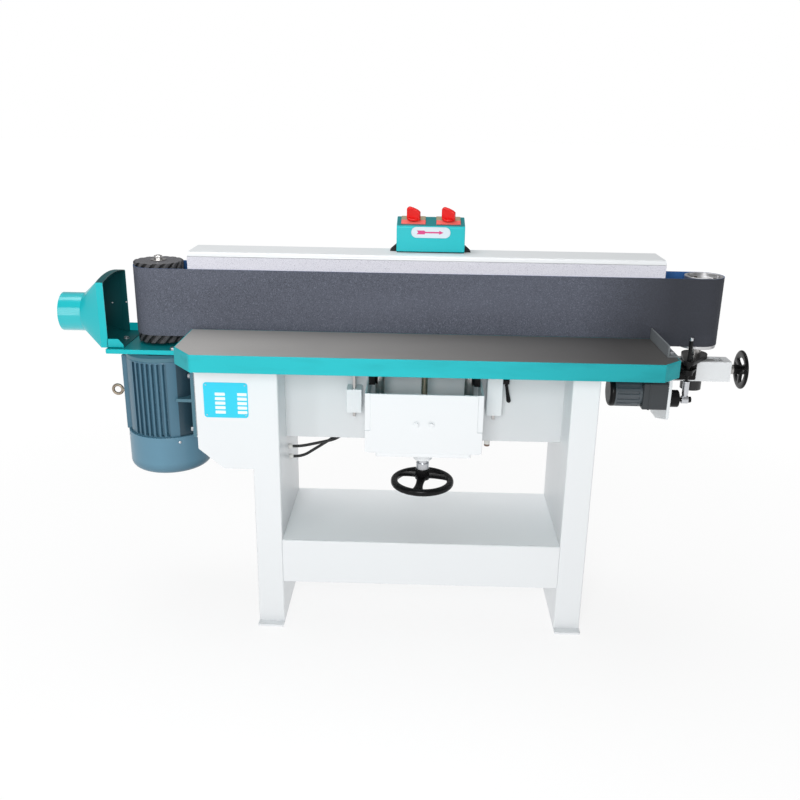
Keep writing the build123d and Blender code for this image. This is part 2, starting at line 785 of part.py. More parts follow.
# Motor, foot mounted with its shaft upright under the drive drum
core_z = (motor_low_z + motor_high_z) / 2
groove_dx = [groove_shift + groove_pitch * (k - (groove_n - 1) / 2) for k in range(groove_n)]
groove_at = [(dx, sqrt(motor_r**2 - dx**2) - groove_d) for dx in groove_dx]
with BuildPart() as motor_frame:
    with BuildSketch(Plane.XY.offset(motor_low_z)):
        with Locations((drive_x, drive_y)):
            Circle(motor_r)
        with Locations(*[(drive_x + dx, drive_y - dy) for dx, dy in groove_at]):
            Rectangle(groove_w, motor_r, align=(Align.CENTER, Align.MAX), mode=Mode.SUBTRACT)
        with Locations(*[(drive_x + dx, drive_y + dy) for dx, dy in groove_at]):
            Rectangle(groove_w, motor_r, align=(Align.CENTER, Align.MIN), mode=Mode.SUBTRACT)
    extrude(amount=motor_high_z - motor_low_z)
    with Locations((drive_x - motor_r - side_pad_t, drive_y, motor_high_z)):
        Box(
            motor_r / 2,
            side_pad_w,
            motor_high_z - motor_low_z - cowl_lap - contact_gap,
            align=(Align.MIN, Align.CENTER, Align.MAX),
        )
    with Locations(*[(drive_x + motor_foot_h, y, motor_mid_z) for y in foot_y]):
        Box(foot_t_motor, foot_w, foot_l, align=leftward)
    with Locations((drive_x + motor_foot_h, drive_y, motor_mid_z + web_rise)):
        Box(motor_foot_h / 2, foot_bolt_gauge + foot_w, web_t, align=leftward)
    with Locations((drive_x, drive_y, motor_low_z)):
        Cylinder(motor_inner_r, motor_high_z - motor_low_z, align=base, mode=Mode.SUBTRACT)
motor_frame.part.label = "motor_frame"
export_step(motor_frame.part, "parts/motor_frame.step")

with BuildPart() as motor_shields:
    with Locations((drive_x, drive_y, motor_high_z)):
        Cylinder(motor_r, shield_t, align=base)
    chamfer(motor_shields.edges().group_by(Axis.Z)[-1], shield_chamfer)
    with Locations((drive_x, drive_y, motor_low_z)):
        Cylinder(motor_r, shield_t, align=top)
    with Locations((drive_x, drive_y, core_z)):
        Cylinder(motor_bearing_r + running_fit, 2 * (motor_high_z - motor_low_z), mode=Mode.SUBTRACT)
motor_shields.part.label = "motor_shields"
export_step(motor_shields.part, "parts/motor_shields.step")

with BuildPart() as motor_stator:
    with Locations((drive_x, drive_y, core_z)):
        Cylinder(motor_inner_r, core_h)
        Cylinder(stator_bore, core_h, mode=Mode.SUBTRACT)
motor_stator.part.label = "motor_stator"
export_step(motor_stator.part, "parts/motor_stator.step")

cowl_top_z = motor_low_z + cowl_lap
with BuildPart() as motor_cowl:
    with Locations((drive_x, drive_y, cowl_low_z)):
        Cylinder(cowl_r, cowl_top_z - cowl_low_z, align=base)
    fillet(motor_cowl.edges().group_by(Axis.Z)[0], cowl_round)
    offset(amount=-cowl_t, openings=motor_cowl.faces().sort_by(Axis.Z)[-1])
    with Locations((drive_x, drive_y, motor_low_z - shield_t)):
        Cylinder(cowl_r - cowl_t / 2, shield_t, align=base)
        Cylinder(motor_r, shield_t, align=base, mode=Mode.SUBTRACT)
    with BuildSketch(Plane.XY.offset(cowl_low_z)):
        with Locations((drive_x, drive_y)):
            with PolarLocations(grille_r, grille_n):
                SlotOverall(grille_l, grille_w)
    extrude(amount=2 * cowl_t, mode=Mode.SUBTRACT)
motor_cowl.part.label = "motor_cowl"
export_step(motor_cowl.part, "parts/motor_cowl.step")

eye_x = drive_x - motor_r - side_pad_t
with BuildPart() as motor_eye_bolt:
    with Locations((eye_x - eye_neck_l - eye_r, drive_y, eye_z)):
        Torus(eye_r, eye_wire, rotation=(90, 0, 0))
    with Locations((eye_x - eye_neck_l, drive_y, eye_z)):
        Cylinder(eye_neck_r, eye_neck_l, rotation=(0, 90, 0), align=base)
    with Locations((eye_x - eye_collar_l, drive_y, eye_z)):
        Cylinder(eye_collar_r, eye_collar_l, rotation=(0, 90, 0), align=base)
motor_eye_bolt.part.label = "motor_eye_bolt"
export_step(motor_eye_bolt.part, "parts/motor_eye_bolt.step")

# Rotor group: core on its shaft, bearings, fan, drum and its nut
drum_z0 = belt_z - drum_low
drum_z1 = belt_top + drum_high
fan_z = motor_low_z - shield_t - fan_drop
with BuildPart() as motor_rotor:
    with Locations((drive_x, drive_y, fan_z - fan_blade_h)):
        Cylinder(shaft_r, drum_z1 - fan_z + fan_blade_h, align=base)
    with Locations((drive_x, drive_y, core_z)):
        Cylinder(rotor_r, core_h)
motor_rotor.part.label = "motor_rotor"
export_step(motor_rotor.part, "parts/motor_rotor.step")

with BuildPart() as motor_bearings:
    with Locations((drive_x, drive_y, motor_low_z - bearing_w), (drive_x, drive_y, motor_high_z)):
        Cylinder(motor_bearing_r, bearing_w, align=base)
        Cylinder(shaft_r, bearing_w, align=base, mode=Mode.SUBTRACT)
motor_bearings.part.label = "motor_bearings"
export_step(motor_bearings.part, "parts/motor_bearings.step")

with BuildPart() as motor_fan:
    with Locations((drive_x, drive_y, fan_z)):
        Cylinder(fan_r, fan_t, align=base)
        Cylinder(shaft_r + fan_hub_t, fan_blade_h, align=top)
        with PolarLocations((fan_r + shaft_r) / 2, fan_blades):
            Box(fan_r - shaft_r - fan_hub_t, fan_blade_t, fan_blade_h, align=top)
        Cylinder(shaft_r, 4 * fan_blade_h, mode=Mode.SUBTRACT)
motor_fan.part.label = "motor_fan"
export_step(motor_fan.part, "parts/motor_fan.step")

with BuildPart() as drive_drum:
    with Locations((drive_x, drive_y, drum_z0)):
        Cylinder(drum_r, drum_z1 - drum_z0, align=base)
    chamfer(drive_drum.edges().filter_by(GeomType.CIRCLE), drum_chamfer)
    with Locations((drive_x, drive_y, drum_z0)):
        Cylinder(shaft_r, drum_z1 - drum_z0, align=base, mode=Mode.SUBTRACT)
drive_drum.part.label = "drive_drum"
export_step(drive_drum.part, "parts/drive_drum.step")

with BuildPart() as drum_nut:
    with Locations((drive_x, drive_y, drum_z1)):
        Cylinder(washer_r, washer_t, align=base)
    with BuildSketch(Plane.XY.offset(drum_z1 + washer_t)):
        with Locations((drive_x, drive_y)):
            RegularPolygon(drum_nut_r, 6)
    extrude(amount=drum_nut_h)
drum_nut.part.label = "drum_nut"
export_step(drum_nut.part, "parts/drum_nut.step")

# Switch box with a sloping top, on two bracket feet
switch_x = stand_x + switch_shift
switch_y0 = belt_y + switch_front
switch_y1 = switch_y0 + switch_d
switch_top = Plane(
    origin=(switch_x, (switch_y0 + switch_y1) / 2, platen_top_z + switch_h + switch_rise / 2),
    x_dir=(1, 0, 0),
    z_dir=(0, -switch_rise, switch_d),
)
with BuildPart() as switch_box:
    with BuildSketch(Plane.YZ.offset(switch_x - switch_w / 2)):
        with BuildLine():
            Polyline(
                (switch_y0, platen_top_z),
                (switch_y1, platen_top_z),
                (switch_y1, platen_top_z + switch_h + switch_rise),
                (switch_y0, platen_top_z + switch_h),
                close=True,
            )
        make_face()
    extrude(amount=switch_w)
    offset(amount=-switch_wall, openings=switch_box.faces().sort_by(Axis.Z)[0])
    with Locations(switch_top):
        with Locations((-plate_pitch / 2, 0), (plate_pitch / 2, 0)):
            Box(plate_hole_w, plate_hole_d, 4 * switch_wall, mode=Mode.SUBTRACT)
switch_box.part.label = "switch_box"
export_step(switch_box.part, "parts/switch_box.step")

switch_foot_y = (switch_y0 + lid_y1) / 2
with BuildPart() as switch_feet:
    with Locations((switch_x - switch_w / 2, switch_foot_y, platen_top_z)):
        Box(switch_foot_w, switch_foot_d, switch_foot_t, align=(Align.MAX, Align.CENTER, Align.MIN))
        Box(switch_foot_t, switch_foot_d, switch_foot_h, align=(Align.MAX, Align.CENTER, Align.MIN))
    with Locations((switch_x + switch_w / 2, switch_foot_y, platen_top_z)):
        Box(switch_foot_w, switch_foot_d, switch_foot_t, align=(Align.MIN, Align.CENTER, Align.MIN))
        Box(switch_foot_t, switch_foot_d, switch_foot_h, align=(Align.MIN, Align.CENTER, Align.MIN))
switch_feet.part.label = "switch_feet"
export_step(switch_feet.part, "parts/switch_feet.step")

with BuildPart() as switch_plates:
    with Locations(switch_top):
        with Locations((-plate_pitch / 2, 0), (plate_pitch / 2, 0)):
            Box(plate_w, plate_d, plate_t, align=base)
    plate_faces = switch_plates.faces().sort_by(Axis(switch_top.origin, switch_top.z_dir))[-2:]
    chamfer(plate_faces.edges(), plate_bevel)
    with Locations(switch_top):
        with Locations((-plate_pitch / 2, 0), (plate_pitch / 2, 0)):
            Cylinder(knob_stem_r + running_fit, 4 * plate_t, mode=Mode.SUBTRACT)
switch_plates.part.label = "switch_plates"
export_step(switch_plates.part, "parts/switch_plates.step")

def knob_plane(along):
    """Plane through a knob's axis and along its fin."""
    foot = switch_top.from_local_coords(Vector(along, 0, plate_t + contact_gap))
    turn = radians(knob_turn)
    fin_dir = switch_top.x_dir * cos(turn) + switch_top.y_dir * sin(turn)
    return Plane(origin=foot, x_dir=fin_dir, z_dir=switch_top.z_dir)


fin = [
    (-knob_l / 2, 0),
    (knob_l / 2, 0),
    (knob_l / 2, 0.62 * knob_h),
    (0.3 * knob_l, 0.8 * knob_h),
    (0, 0.93 * knob_h),
    (-0.3 * knob_l, knob_h),
    (-knob_l / 2, 0.97 * knob_h),
]
knob_places = {"switch_knob_left": -plate_pitch / 2, "switch_knob_right": plate_pitch / 2}
for knob_name, along in knob_places.items():
    seat = knob_plane(along)
    with BuildPart() as knob:
        with Locations(seat):
            Cylinder(knob_base_r, knob_base_h, align=base)
            Cylinder(knob_stem_r, 2 * plate_t, align=top)
        with BuildSketch(Plane(origin=seat.origin, x_dir=seat.x_dir, z_dir=-seat.y_dir)):
            with BuildLine():
                Polyline(*fin, close=True)
            make_face()
        extrude(amount=knob_w / 2, both=True)
    knob.part.label = knob_name
    export_step(knob.part, f"parts/{knob_name}.step")

with BuildPart() as direction_label:
    with BuildSketch(Plane.XZ.offset(-switch_y0)):
        with Locations((switch_x, platen_top_z + switch_h - label_drop)):
            SlotOverall(label_w, label_h)
    extrude(amount=label_t)
direction_label.part.label = "direction_label"
export_step(direction_label.part, "parts/direction_label.step")

# Tension tube on the right leg, slotted for the spindle's sleeve and the slide's neck
tube_z = tube_low_z + tube_w / 2
tube_x1 = leg_out_r + tube_l
with BuildPart() as tension_tube:
    with Locations((leg_out_r, idler_y, tube_z)):
        Box(tube_l, tube_w, tube_w, align=rightward)
        Box(
            tube_l - tube_end_t,
            tube_w - 2 * tube_wall,
            tube_w - 2 * tube_wall,
            align=rightward,
            mode=Mode.SUBTRACT,
        )
    with Locations((idler_x - slot_left, idler_y, tube_z)):
        Box(
            slot_left + slot_right,
            2 * sleeve_r + 2 * slot_slack,
            2 * tube_w,
            align=rightward,
            mode=Mode.SUBTRACT,
        )
    with Locations((idler_x - neck_left - slide_travel - slot_slack, idler_y - tube_w / 2, tube_z)):
        Box(
            neck_w + slide_travel + 2 * slot_slack,
            3 * tube_wall,
            neck_h + 2 * slot_slack,
            align=rightward,
            mode=Mode.SUBTRACT,
        )
    with Locations((tube_x1, idler_y, tube_z)):
        Cylinder(tension_r + running_fit, 3 * tube_end_t, rotation=(0, 90, 0), mode=Mode.SUBTRACT)
tension_tube.part.label = "tension_tube"
export_step(tension_tube.part, "parts/tension_tube.step")

# Slide in the tube: threaded for the tension screw, with the spindle's sleeve, a collar under the tube
# and a neck at the front
sleeve_top_z = tube_low_z + tube_w + sleeve_stand
slide_w = tube_w - 2 * tube_wall - 2 * contact_gap
neck_front = idler_y - tube_w / 2 - 2 * contact_gap
with BuildPart() as slide_block:
    with Locations((idler_x - slide_left, idler_y, tube_z)):
        Box(slide_left + slide_right, slide_w, slide_w, align=rightward)
    with Locations((idler_x - neck_left, neck_front, tube_z)):
        Box(neck_w, idler_y - neck_front, neck_h, align=(Align.MIN, Align.MIN, Align.CENTER))
    with Locations((idler_x, idler_y, sleeve_low_z)):
        Cylinder(tube_w / 2, tube_low_z - contact_gap - sleeve_low_z, align=base)
        Cylinder(sleeve_r, sleeve_top_z - sleeve_low_z, align=base)
        Cylinder(spindle_r + running_fit, sleeve_top_z - sleeve_low_z, align=base, mode=Mode.SUBTRACT)
    with Locations((idler_x + slide_right, idler_y, tube_z)):
        Cylinder(
            tension_r + running_fit,
            tension_engage + tip_room,
            rotation=(0, 90, 0),
            align=top,
            mode=Mode.SUBTRACT,
        )
slide_block.part.label = "slide_block"
export_step(slide_block.part, "parts/slide_block.step")

# Guide bracket: a foot plate on the slide's neck, a lug round the guide rod and a gusset
rod_x = idler_x - rod_dx
rod_y = idler_y - rod_dy
gear_plate_x = rod_x - gear_plate_left
bracket_back = neck_front
bracket_front = bracket_back - bracket_t
with BuildPart() as guide_bracket:
    with Locations((gear_plate_x, bracket_front, bracket_low_z)):
        Box(idler_x - gear_plate_x, bracket_t, bracket_h, align=low)
    with Locations((rod_x, bracket_front, lug_low_z)):
        Box(lug_w, bracket_front - rod_y, lug_t, align=(Align.CENTER, Align.MAX, Align.MIN))
    with Locations((rod_x, rod_y, lug_low_z)):
        Cylinder(lug_w / 2, lug_t, align=base)
    with BuildSketch(Plane.XY.offset(lug_low_z)):
        with BuildLine():
            Polyline(
                (rod_x + lug_w / 2, bracket_front),
                (idler_x, bracket_front),
                (rod_x + lug_w / 2, rod_y),
                close=True,
            )
        make_face()
    extrude(amount=gusset_t)
    with Locations((rod_x, rod_y, lug_low_z)):
        Cylinder(rod_r + running_fit, lug_t, align=base, mode=Mode.SUBTRACT)
guide_bracket.part.label = "guide_bracket"
export_step(guide_bracket.part, "parts/guide_bracket.step")

# Gear motor on its plate, which stands on the bracket's foot and reaches under the tube
gearbox_x1 = gear_plate_x - gear_plate_t
gearbox_x0 = gearbox_x1 - gearbox_l
gearbox_z = crank_z + gearbox_rise
gear_front = rod_y - gearbox_w / 2
tube_back = idler_y + tube_w / 2
with BuildPart() as gear_plate:
    with BuildSketch(Plane.YZ.offset(gear_plate_x)):
        with BuildLine():
            Polyline(
                (gear_front, gear_plate_low_z),
                (bracket_back, gear_tail_low_z),
                (tube_back, gear_tail_low_z),
                (tube_back, tube_low_z - gear_tail_gap),
                (bracket_back, tube_low_z - gear_tail_gap),
                (bracket_back, gear_plate_top_z),
                (gear_front, gear_plate_top_z),
                close=True,
            )
        make_face()
    extrude(amount=-gear_plate_t)
    with Locations((gear_plate_x, rod_y, crank_z)):
        Cylinder(crank_shaft_r + slot_slack, 4 * gear_plate_t, rotation=(0, 90, 0), mode=Mode.SUBTRACT)
gear_plate.part.label = "gear_plate"
export_step(gear_plate.part, "parts/gear_plate.step")

with BuildPart() as gearbox:
    with Locations((gearbox_x1, rod_y, gearbox_z)):
        Box(gearbox_l, gearbox_w, gearbox_h, align=leftward)
    fillet(gearbox.edges().filter_by(Axis.X), gearbox_round)
    with Locations((gearbox_x1, rod_y, crank_z)):
        Cylinder(
            crank_shaft_r + running_fit,
            crank_shaft_in + tip_room,
            rotation=(0, 90, 0),
            align=top,
            mode=Mode.SUBTRACT,
        )
gearbox.part.label = "gearbox"
export_step(gearbox.part, "parts/gearbox.step")

with BuildPart() as gear_motor:
    with Locations((gearbox_x0, rod_y, gearbox_z)):
        Cylinder(gear_motor_r, gear_motor_l, rotation=(0, -90, 0), align=base)
    fillet(gear_motor.edges().filter_by(GeomType.CIRCLE).sort_by(Axis.X)[0], gear_motor_round)
gear_motor.part.label = "gear_motor"
export_step(gear_motor.part, "parts/gear_motor.step")

# Tension screw with its thrust collar, and the handwheel on its end
tension_tip = idler_x + slide_right - tension_engage
hand_hub_x = tube_x1 + contact_gap + thrust_l
hand_x1 = hand_hub_x + hand_hub_l
with BuildPart() as tension_screw:
    with Locations((tension_tip, idler_y, tube_z)):
        Cylinder(tension_r, hand_x1 - hand_cap - tension_tip, rotation=(0, 90, 0), align=base)
    with Locations((tube_x1 + contact_gap, idler_y, tube_z)):
        Cylinder(thrust_r, thrust_l, rotation=(0, 90, 0), align=base)
tension_screw.part.label = "tension_screw"
export_step(tension_screw.part, "parts/tension_screw.step")

hand_plane = Plane(origin=(hand_x1 - hand_set, idler_y, tube_z), x_dir=(0, 1, 0), z_dir=(1, 0, 0))
rim_plane = Plane(origin=hand_plane.origin, x_dir=(1, 0, 0), z_dir=(0, -1, 0))
with BuildPart() as tension_handwheel:
    with BuildSketch(rim_plane):
        with Locations((0, hand_r - hand_rim_r)):
            Ellipse(hand_rim_x, hand_rim_r)
    revolve(axis=Axis(hand_plane.origin, (1, 0, 0)))
    with Locations(hand_plane):
        with PolarLocations((hand_r - hand_rim_r) / 2, 3, start_angle=30):
            Box(hand_r - hand_rim_r, hand_spoke_w, hand_spoke_t)
    with Locations((hand_hub_x, idler_y, tube_z)):
        Cylinder(hand_hub_r, hand_hub_l, rotation=(0, 90, 0), align=base)
        Cylinder(tension_r, hand_hub_l - hand_cap, rotation=(0, 90, 0), align=base, mode=Mode.SUBTRACT)
tension_handwheel.part.label = "tension_handwheel"
export_step(tension_handwheel.part, "parts/tension_handwheel.step")

# Idler: spindle that rises and falls in the sleeve, its arm and guide rod, and the drum on bearings
idler_z0 = belt_z - idler_low
recess_z = belt_top - idler_recess
bearing_zs = [idler_z0 + bearing_inset, recess_z - bearing_t - bearing_inset]
spacer_l = bearing_zs[1] - bearing_zs[0] - bearing_t
spindle_top_z = recess_z - tip_room
with BuildPart() as idler_spindle:
    with Locations((idler_x, idler_y, spindle_low_z)):
        Cylinder(spindle_r, spindle_top_z - spindle_low_z, align=base)
    with Locations((idler_x, idler_y, arm_low_z + arm_t)):
        Cylinder(spindle_shoulder_r, bearing_zs[0] - arm_low_z - arm_t, align=base)
    with Locations((idler_x, idler_y, bearing_zs[1] + bearing_t)):
        Cylinder(spindle_shoulder_r, spindle_top_z - bearing_zs[1] - bearing_t, align=base)
idler_spindle.part.label = "idler_spindle"
export_step(idler_spindle.part, "parts/idler_spindle.step")

arm_turn = degrees(atan2(-rod_dy, -rod_dx))
arm_l = sqrt(rod_dx**2 + rod_dy**2)
with BuildPart() as spindle_arm:
    with BuildSketch(Plane.XY.offset(arm_low_z)):
        with Locations((idler_x, idler_y)):
            Circle(arm_hub_r)
        with Locations((rod_x, rod_y)):
            Circle(arm_end_r)
        with Locations(((idler_x + rod_x) / 2, (idler_y + rod_y) / 2)):
            Rectangle(arm_l, arm_w, rotation=arm_turn)
        with Locations((idler_x, idler_y)):
            Circle(spindle_r, mode=Mode.SUBTRACT)
        with Locations((rod_x, rod_y)):
            Circle(rod_r, mode=Mode.SUBTRACT)
    extrude(amount=arm_t)
spindle_arm.part.label = "spindle_arm"
export_step(spindle_arm.part, "parts/spindle_arm.step")

with BuildPart() as guide_rod:
    with Locations((rod_x, rod_y, rod_low_z)):
        Cylinder(rod_r, rod_top_z - rod_low_z, align=base)
        Cylinder(stud_r, rod_low_z - stud_low_z, align=top)
    fillet(guide_rod.edges().group_by(Axis.Z)[-1], rod_round)
guide_rod.part.label = "guide_rod"
export_step(guide_rod.part, "parts/guide_rod.step")

with BuildPart() as idler_drum:
    with Locations((idler_x, idler_y, idler_z0)):
        Cylinder(idler_r, belt_top - idler_z0, align=base)
        Cylinder(idler_bearing_r, belt_top - idler_z0, align=base, mode=Mode.SUBTRACT)
    with Locations((idler_x, idler_y, recess_z)):
        Cylinder(idler_r - idler_rim, idler_recess, align=base, mode=Mode.SUBTRACT)
    with Locations((idler_x, idler_y, bearing_zs[0] + bearing_t)):
        Cylinder(idler_bearing_r, spacer_l, align=base)
        Cylinder(idler_bearing_r - spacer_t, spacer_l, align=base, mode=Mode.SUBTRACT)
idler_drum.part.label = "idler_drum"
export_step(idler_drum.part, "parts/idler_drum.step")

with BuildPart() as idler_bearings:
    with Locations(*[(idler_x, idler_y, z) for z in bearing_zs]):
        Cylinder(idler_bearing_r, bearing_t, align=base)
        Cylinder(spindle_r + running_fit, bearing_t, align=base, mode=Mode.SUBTRACT)
    with Locations((idler_x, idler_y, bearing_zs[0])):
        Cylinder(spindle_shoulder_r + slot_slack, contact_gap, align=base, mode=Mode.SUBTRACT)
    with Locations((idler_x, idler_y, bearing_zs[1] + bearing_t)):
        Cylinder(spindle_shoulder_r + slot_slack, contact_gap, align=top, mode=Mode.SUBTRACT)
idler_bearings.part.label = "idler_bearings"
export_step(idler_bearings.part, "parts/idler_bearings.step")

# Crank on the gearbox shaft, its pin at the bottom of the stroke, and the link on the pin
throw = stroke / 2
pin_z = crank_z - throw
crank_x0 = gear_plate_x + crank_gap
crank_x1 = crank_x0 + crank_l
eye_x0 = rod_x - eye_w / 2
eye_x1 = rod_x + eye_w / 2
with BuildPart() as crank:
    with Locations((crank_x0, rod_y, crank_z)):
        Cylinder(crank_r, crank_l, rotation=(0, 90, 0), align=base)
        Cylinder(crank_shaft_r, crank_gap + gear_plate_t + crank_shaft_in, rotation=(0, 90, 0), align=top)
    fillet(crank.edges().filter_by(GeomType.CIRCLE).sort_by(Axis.X)[-1], crank_round)
    with Locations((crank_x1, rod_y, pin_z)):
        Cylinder(pin_r, eye_x1 + contact_gap - crank_x1, rotation=(0, 90, 0), align=base)
        Cylinder(pin_head_r, eye_x0 - contact_gap - crank_x1, rotation=(0, 90, 0), align=base)
    with Locations((eye_x1 + contact_gap, rod_y, pin_z)):
        Cylinder(pin_head_r, pin_head_l, rotation=(0, 90, 0), align=base)
crank.part.label = "crank"
export_step(crank.part, "parts/crank.step")

with BuildPart() as link_rod:
    with Locations((rod_x, rod_y, pin_z)):
        Cylinder(eye_outer_r, eye_w, rotation=(0, 90, 0))
        Cylinder(link_r, link_top_z - pin_z, align=base)
        Cylinder(pin_r + running_fit, 2 * eye_w, rotation=(0, 90, 0), mode=Mode.SUBTRACT)
    with Locations((rod_x, rod_y, link_top_z)):
        Cylinder(link_bore_r, link_bore_depth, align=top, mode=Mode.SUBTRACT)
link_rod.part.label = "link_rod"
export_step(link_rod.part, "parts/link_rod.step")

# Table casting: ground plate, deep edge with two cut front corners, ribs and bosses below
with BuildPart() as table_casting:
    with BuildSketch(Plane.XY.offset(table_low)) as table_outline:
        with BuildLine():
            Polyline(
                (table_x0, table_back),
                (table_x0, table_front + cut_left_y),
                (table_x0 + cut_left_x, table_front),
                (table_x1 - cut_right_x, table_front),
                (table_x1, table_front + cut_right_y),
                (table_x1, table_back),
                close=True,
            )
        make_face()
    extrude(amount=table_edge)
    with BuildSketch(Plane.XY.offset(table_low)):
        add(table_outline.sketch.face())
        offset(amount=-table_wall, kind=Kind.INTERSECTION, mode=Mode.REPLACE)
    extrude(amount=table_hollow, mode=Mode.SUBTRACT)
    rib_x = [stand_x + rib_pitch * k for k in (-1.5, -0.5, 0.5, 1.5)]
    with Locations(*[(x, table_mid_y, table_under) for x in rib_x]):
        Box(rib_t, table_depth - table_wall, table_hollow, align=top)
    with Locations(*[(x, lift_y, table_under) for x in post_x]):
        Cylinder(boss_r, table_hollow, align=top)
        Cylinder(post_r, table_hollow, align=top, mode=Mode.SUBTRACT)
    with Locations((stand_x, lift_y, table_under)):
        Cylinder(boss_r, table_hollow, align=top)
        Cylinder(screw_r, table_hollow, align=top, mode=Mode.SUBTRACT)
table_casting.part.label = "table_casting"
export_step(table_casting.part, "parts/table_casting.step")

fence_y1 = table_back - fence_inset
fence_y0 = fence_y1 - fence_l
with BuildPart() as stop_fence:
    with Locations((table_x1 - fence_w, fence_y0, table_z)):
        Box(fence_w, fence_l, fence_t, align=low)
        Box(fence_t, fence_l, fence_h, align=low)
stop_fence.part.label = "stop_fence"
export_step(stop_fence.part, "parts/stop_fence.step")

fence_bolt_x = table_x1 - (fence_w - fence_t) / 2
fence_bolt_y = [fence_y0 + fence_bolt_inset, fence_y1 - fence_bolt_inset]
with BuildPart() as fence_bolts:
    with BuildSketch(Plane.XY.offset(table_z + fence_t)):
        with Locations(*[(fence_bolt_x, y) for y in fence_bolt_y]):
            RegularPolygon(bolt_head_r, 6)
    extrude(amount=bolt_head_h)
fence_bolts.part.label = "fence_bolts"
export_step(fence_bolts.part, "parts/fence_bolts.step")

with BuildPart() as guide_posts:
    with Locations(*[(x, lift_y, post_low_z) for x in post_x]):
        Cylinder(post_r, table_under - post_low_z, align=base)
guide_posts.part.label = "guide_posts"
export_step(guide_posts.part, "parts/guide_posts.step")

block_x = [stand_x - post_pitch / 2 - post_r - block_w / 2, stand_x + post_pitch / 2 + post_r + block_w / 2]
with BuildPart() as post_blocks:
    with Locations(*[(x, lift_y, block_low_z) for x in block_x]):
        Box(block_w, block_d, table_low - block_low_z, align=base)
post_blocks.part.label = "post_blocks"
export_step(post_blocks.part, "parts/post_blocks.step")

with BuildPart() as lift_screw:
    with Locations((stand_x, lift_y, screw_low_z)):
        Cylinder(screw_r, table_under - screw_low_z, align=base)
    with BuildSketch(Plane.XY.offset(table_low)):
        with Locations((stand_x, lift_y)):
            RegularPolygon(screw_nut_r, 6)
    extrude(amount=-screw_nut_h)
lift_screw.part.label = "lift_screw"
export_step(lift_screw.part, "parts/lift_screw.step")

with BuildPart() as lock_bars:
    with Locations(*[(x, bracket_y, bar_low_z) for x in clamp_x]):
        Box(bar_t, bar_w, table_under - bar_low_z, align=base)
lock_bars.part.label = "lock_bars"
export_step(lock_bars.part, "parts/lock_bars.step")

# Lift nut that turns in the knee's boss, with the handwheel on its collar
nut_low = knee_boss_low_z - nut_neck_h - nut_collar_h
with BuildPart() as lift_nut:
    with Locations((stand_x, lift_y, nut_low)):
        Cylinder(nut_collar_r, nut_collar_h, align=base)
    with Locations((stand_x, lift_y, nut_low + nut_collar_h)):
        Cylinder(nut_neck_r, nut_neck_h, align=base)
    with Locations((stand_x, lift_y, knee_boss_low_z)):
        Cylinder(nut_r, nut_seat_z - knee_boss_low_z, align=base)
    with Locations((stand_x, lift_y, nut_seat_z + contact_gap)):
        Cylinder(nut_flange_r, nut_flange_h, align=base)
        Cylinder(nut_r, contact_gap, align=top)
    with Locations((stand_x, lift_y, nut_low)):
        Cylinder(screw_r + running_fit, stand_h, align=base, mode=Mode.SUBTRACT)
lift_nut.part.label = "lift_nut"
export_step(lift_nut.part, "parts/lift_nut.step")

hub_low = nut_low - wheel_hub_h
rim_z = hub_low + wheel_hub_h / 2 - wheel_dish
spoke_run = wheel_r - wheel_rim_r
spoke_fall = hub_low + wheel_hub_h / 3 - rim_z
spoke_slope = degrees(atan2(spoke_fall, spoke_run))
with BuildPart() as lift_handwheel:
    with Locations((stand_x, lift_y, rim_z)):
        Torus(spoke_run, wheel_rim_r)
    with Locations((stand_x, lift_y, hub_low)):
        Cylinder(wheel_hub_r, wheel_hub_h, align=base)
    with Locations((stand_x, lift_y, rim_z + spoke_fall)):
        with PolarLocations(0, 3, start_angle=-100):
            Box(
                sqrt(spoke_run**2 + spoke_fall**2),
                spoke_w,
                spoke_t,
                rotation=(0, spoke_slope, 0),
                align=rightward,
            )
    with Locations((stand_x, lift_y, hub_low)):
        Cylinder(screw_r + running_fit, wheel_hub_h, align=base, mode=Mode.SUBTRACT)
lift_handwheel.part.label = "lift_handwheel"
export_step(lift_handwheel.part, "parts/lift_handwheel.step")

# Clamp lever: a screw through the right bracket with a drooping handle
lever_x = clamp_x[1] + clamp_w / 2
with BuildPart() as clamp_lever:
    with Locations((lever_x + contact_gap, bracket_y, lever_z)):
        Cylinder(lever_hub_r, lever_hub_l, rotation=(0, 90, 0), align=base)
    with Locations((clamp_x[1] + bar_t / 2 + bar_slack, bracket_y, lever_z)):
        Cylinder(lever_screw_r, lever_x - clamp_x[1] - bar_t / 2, rotation=(0, 90, 0), align=base)
    with Locations((lever_x + contact_gap + lever_hub_l / 2, bracket_y, lever_z)):
        Cone(lever_neck_r, lever_r, lever_l, rotation=(180, lever_droop, 0), align=base)
clamp_lever.part.label = "clamp_lever"
export_step(clamp_lever.part, "parts/clamp_lever.step")

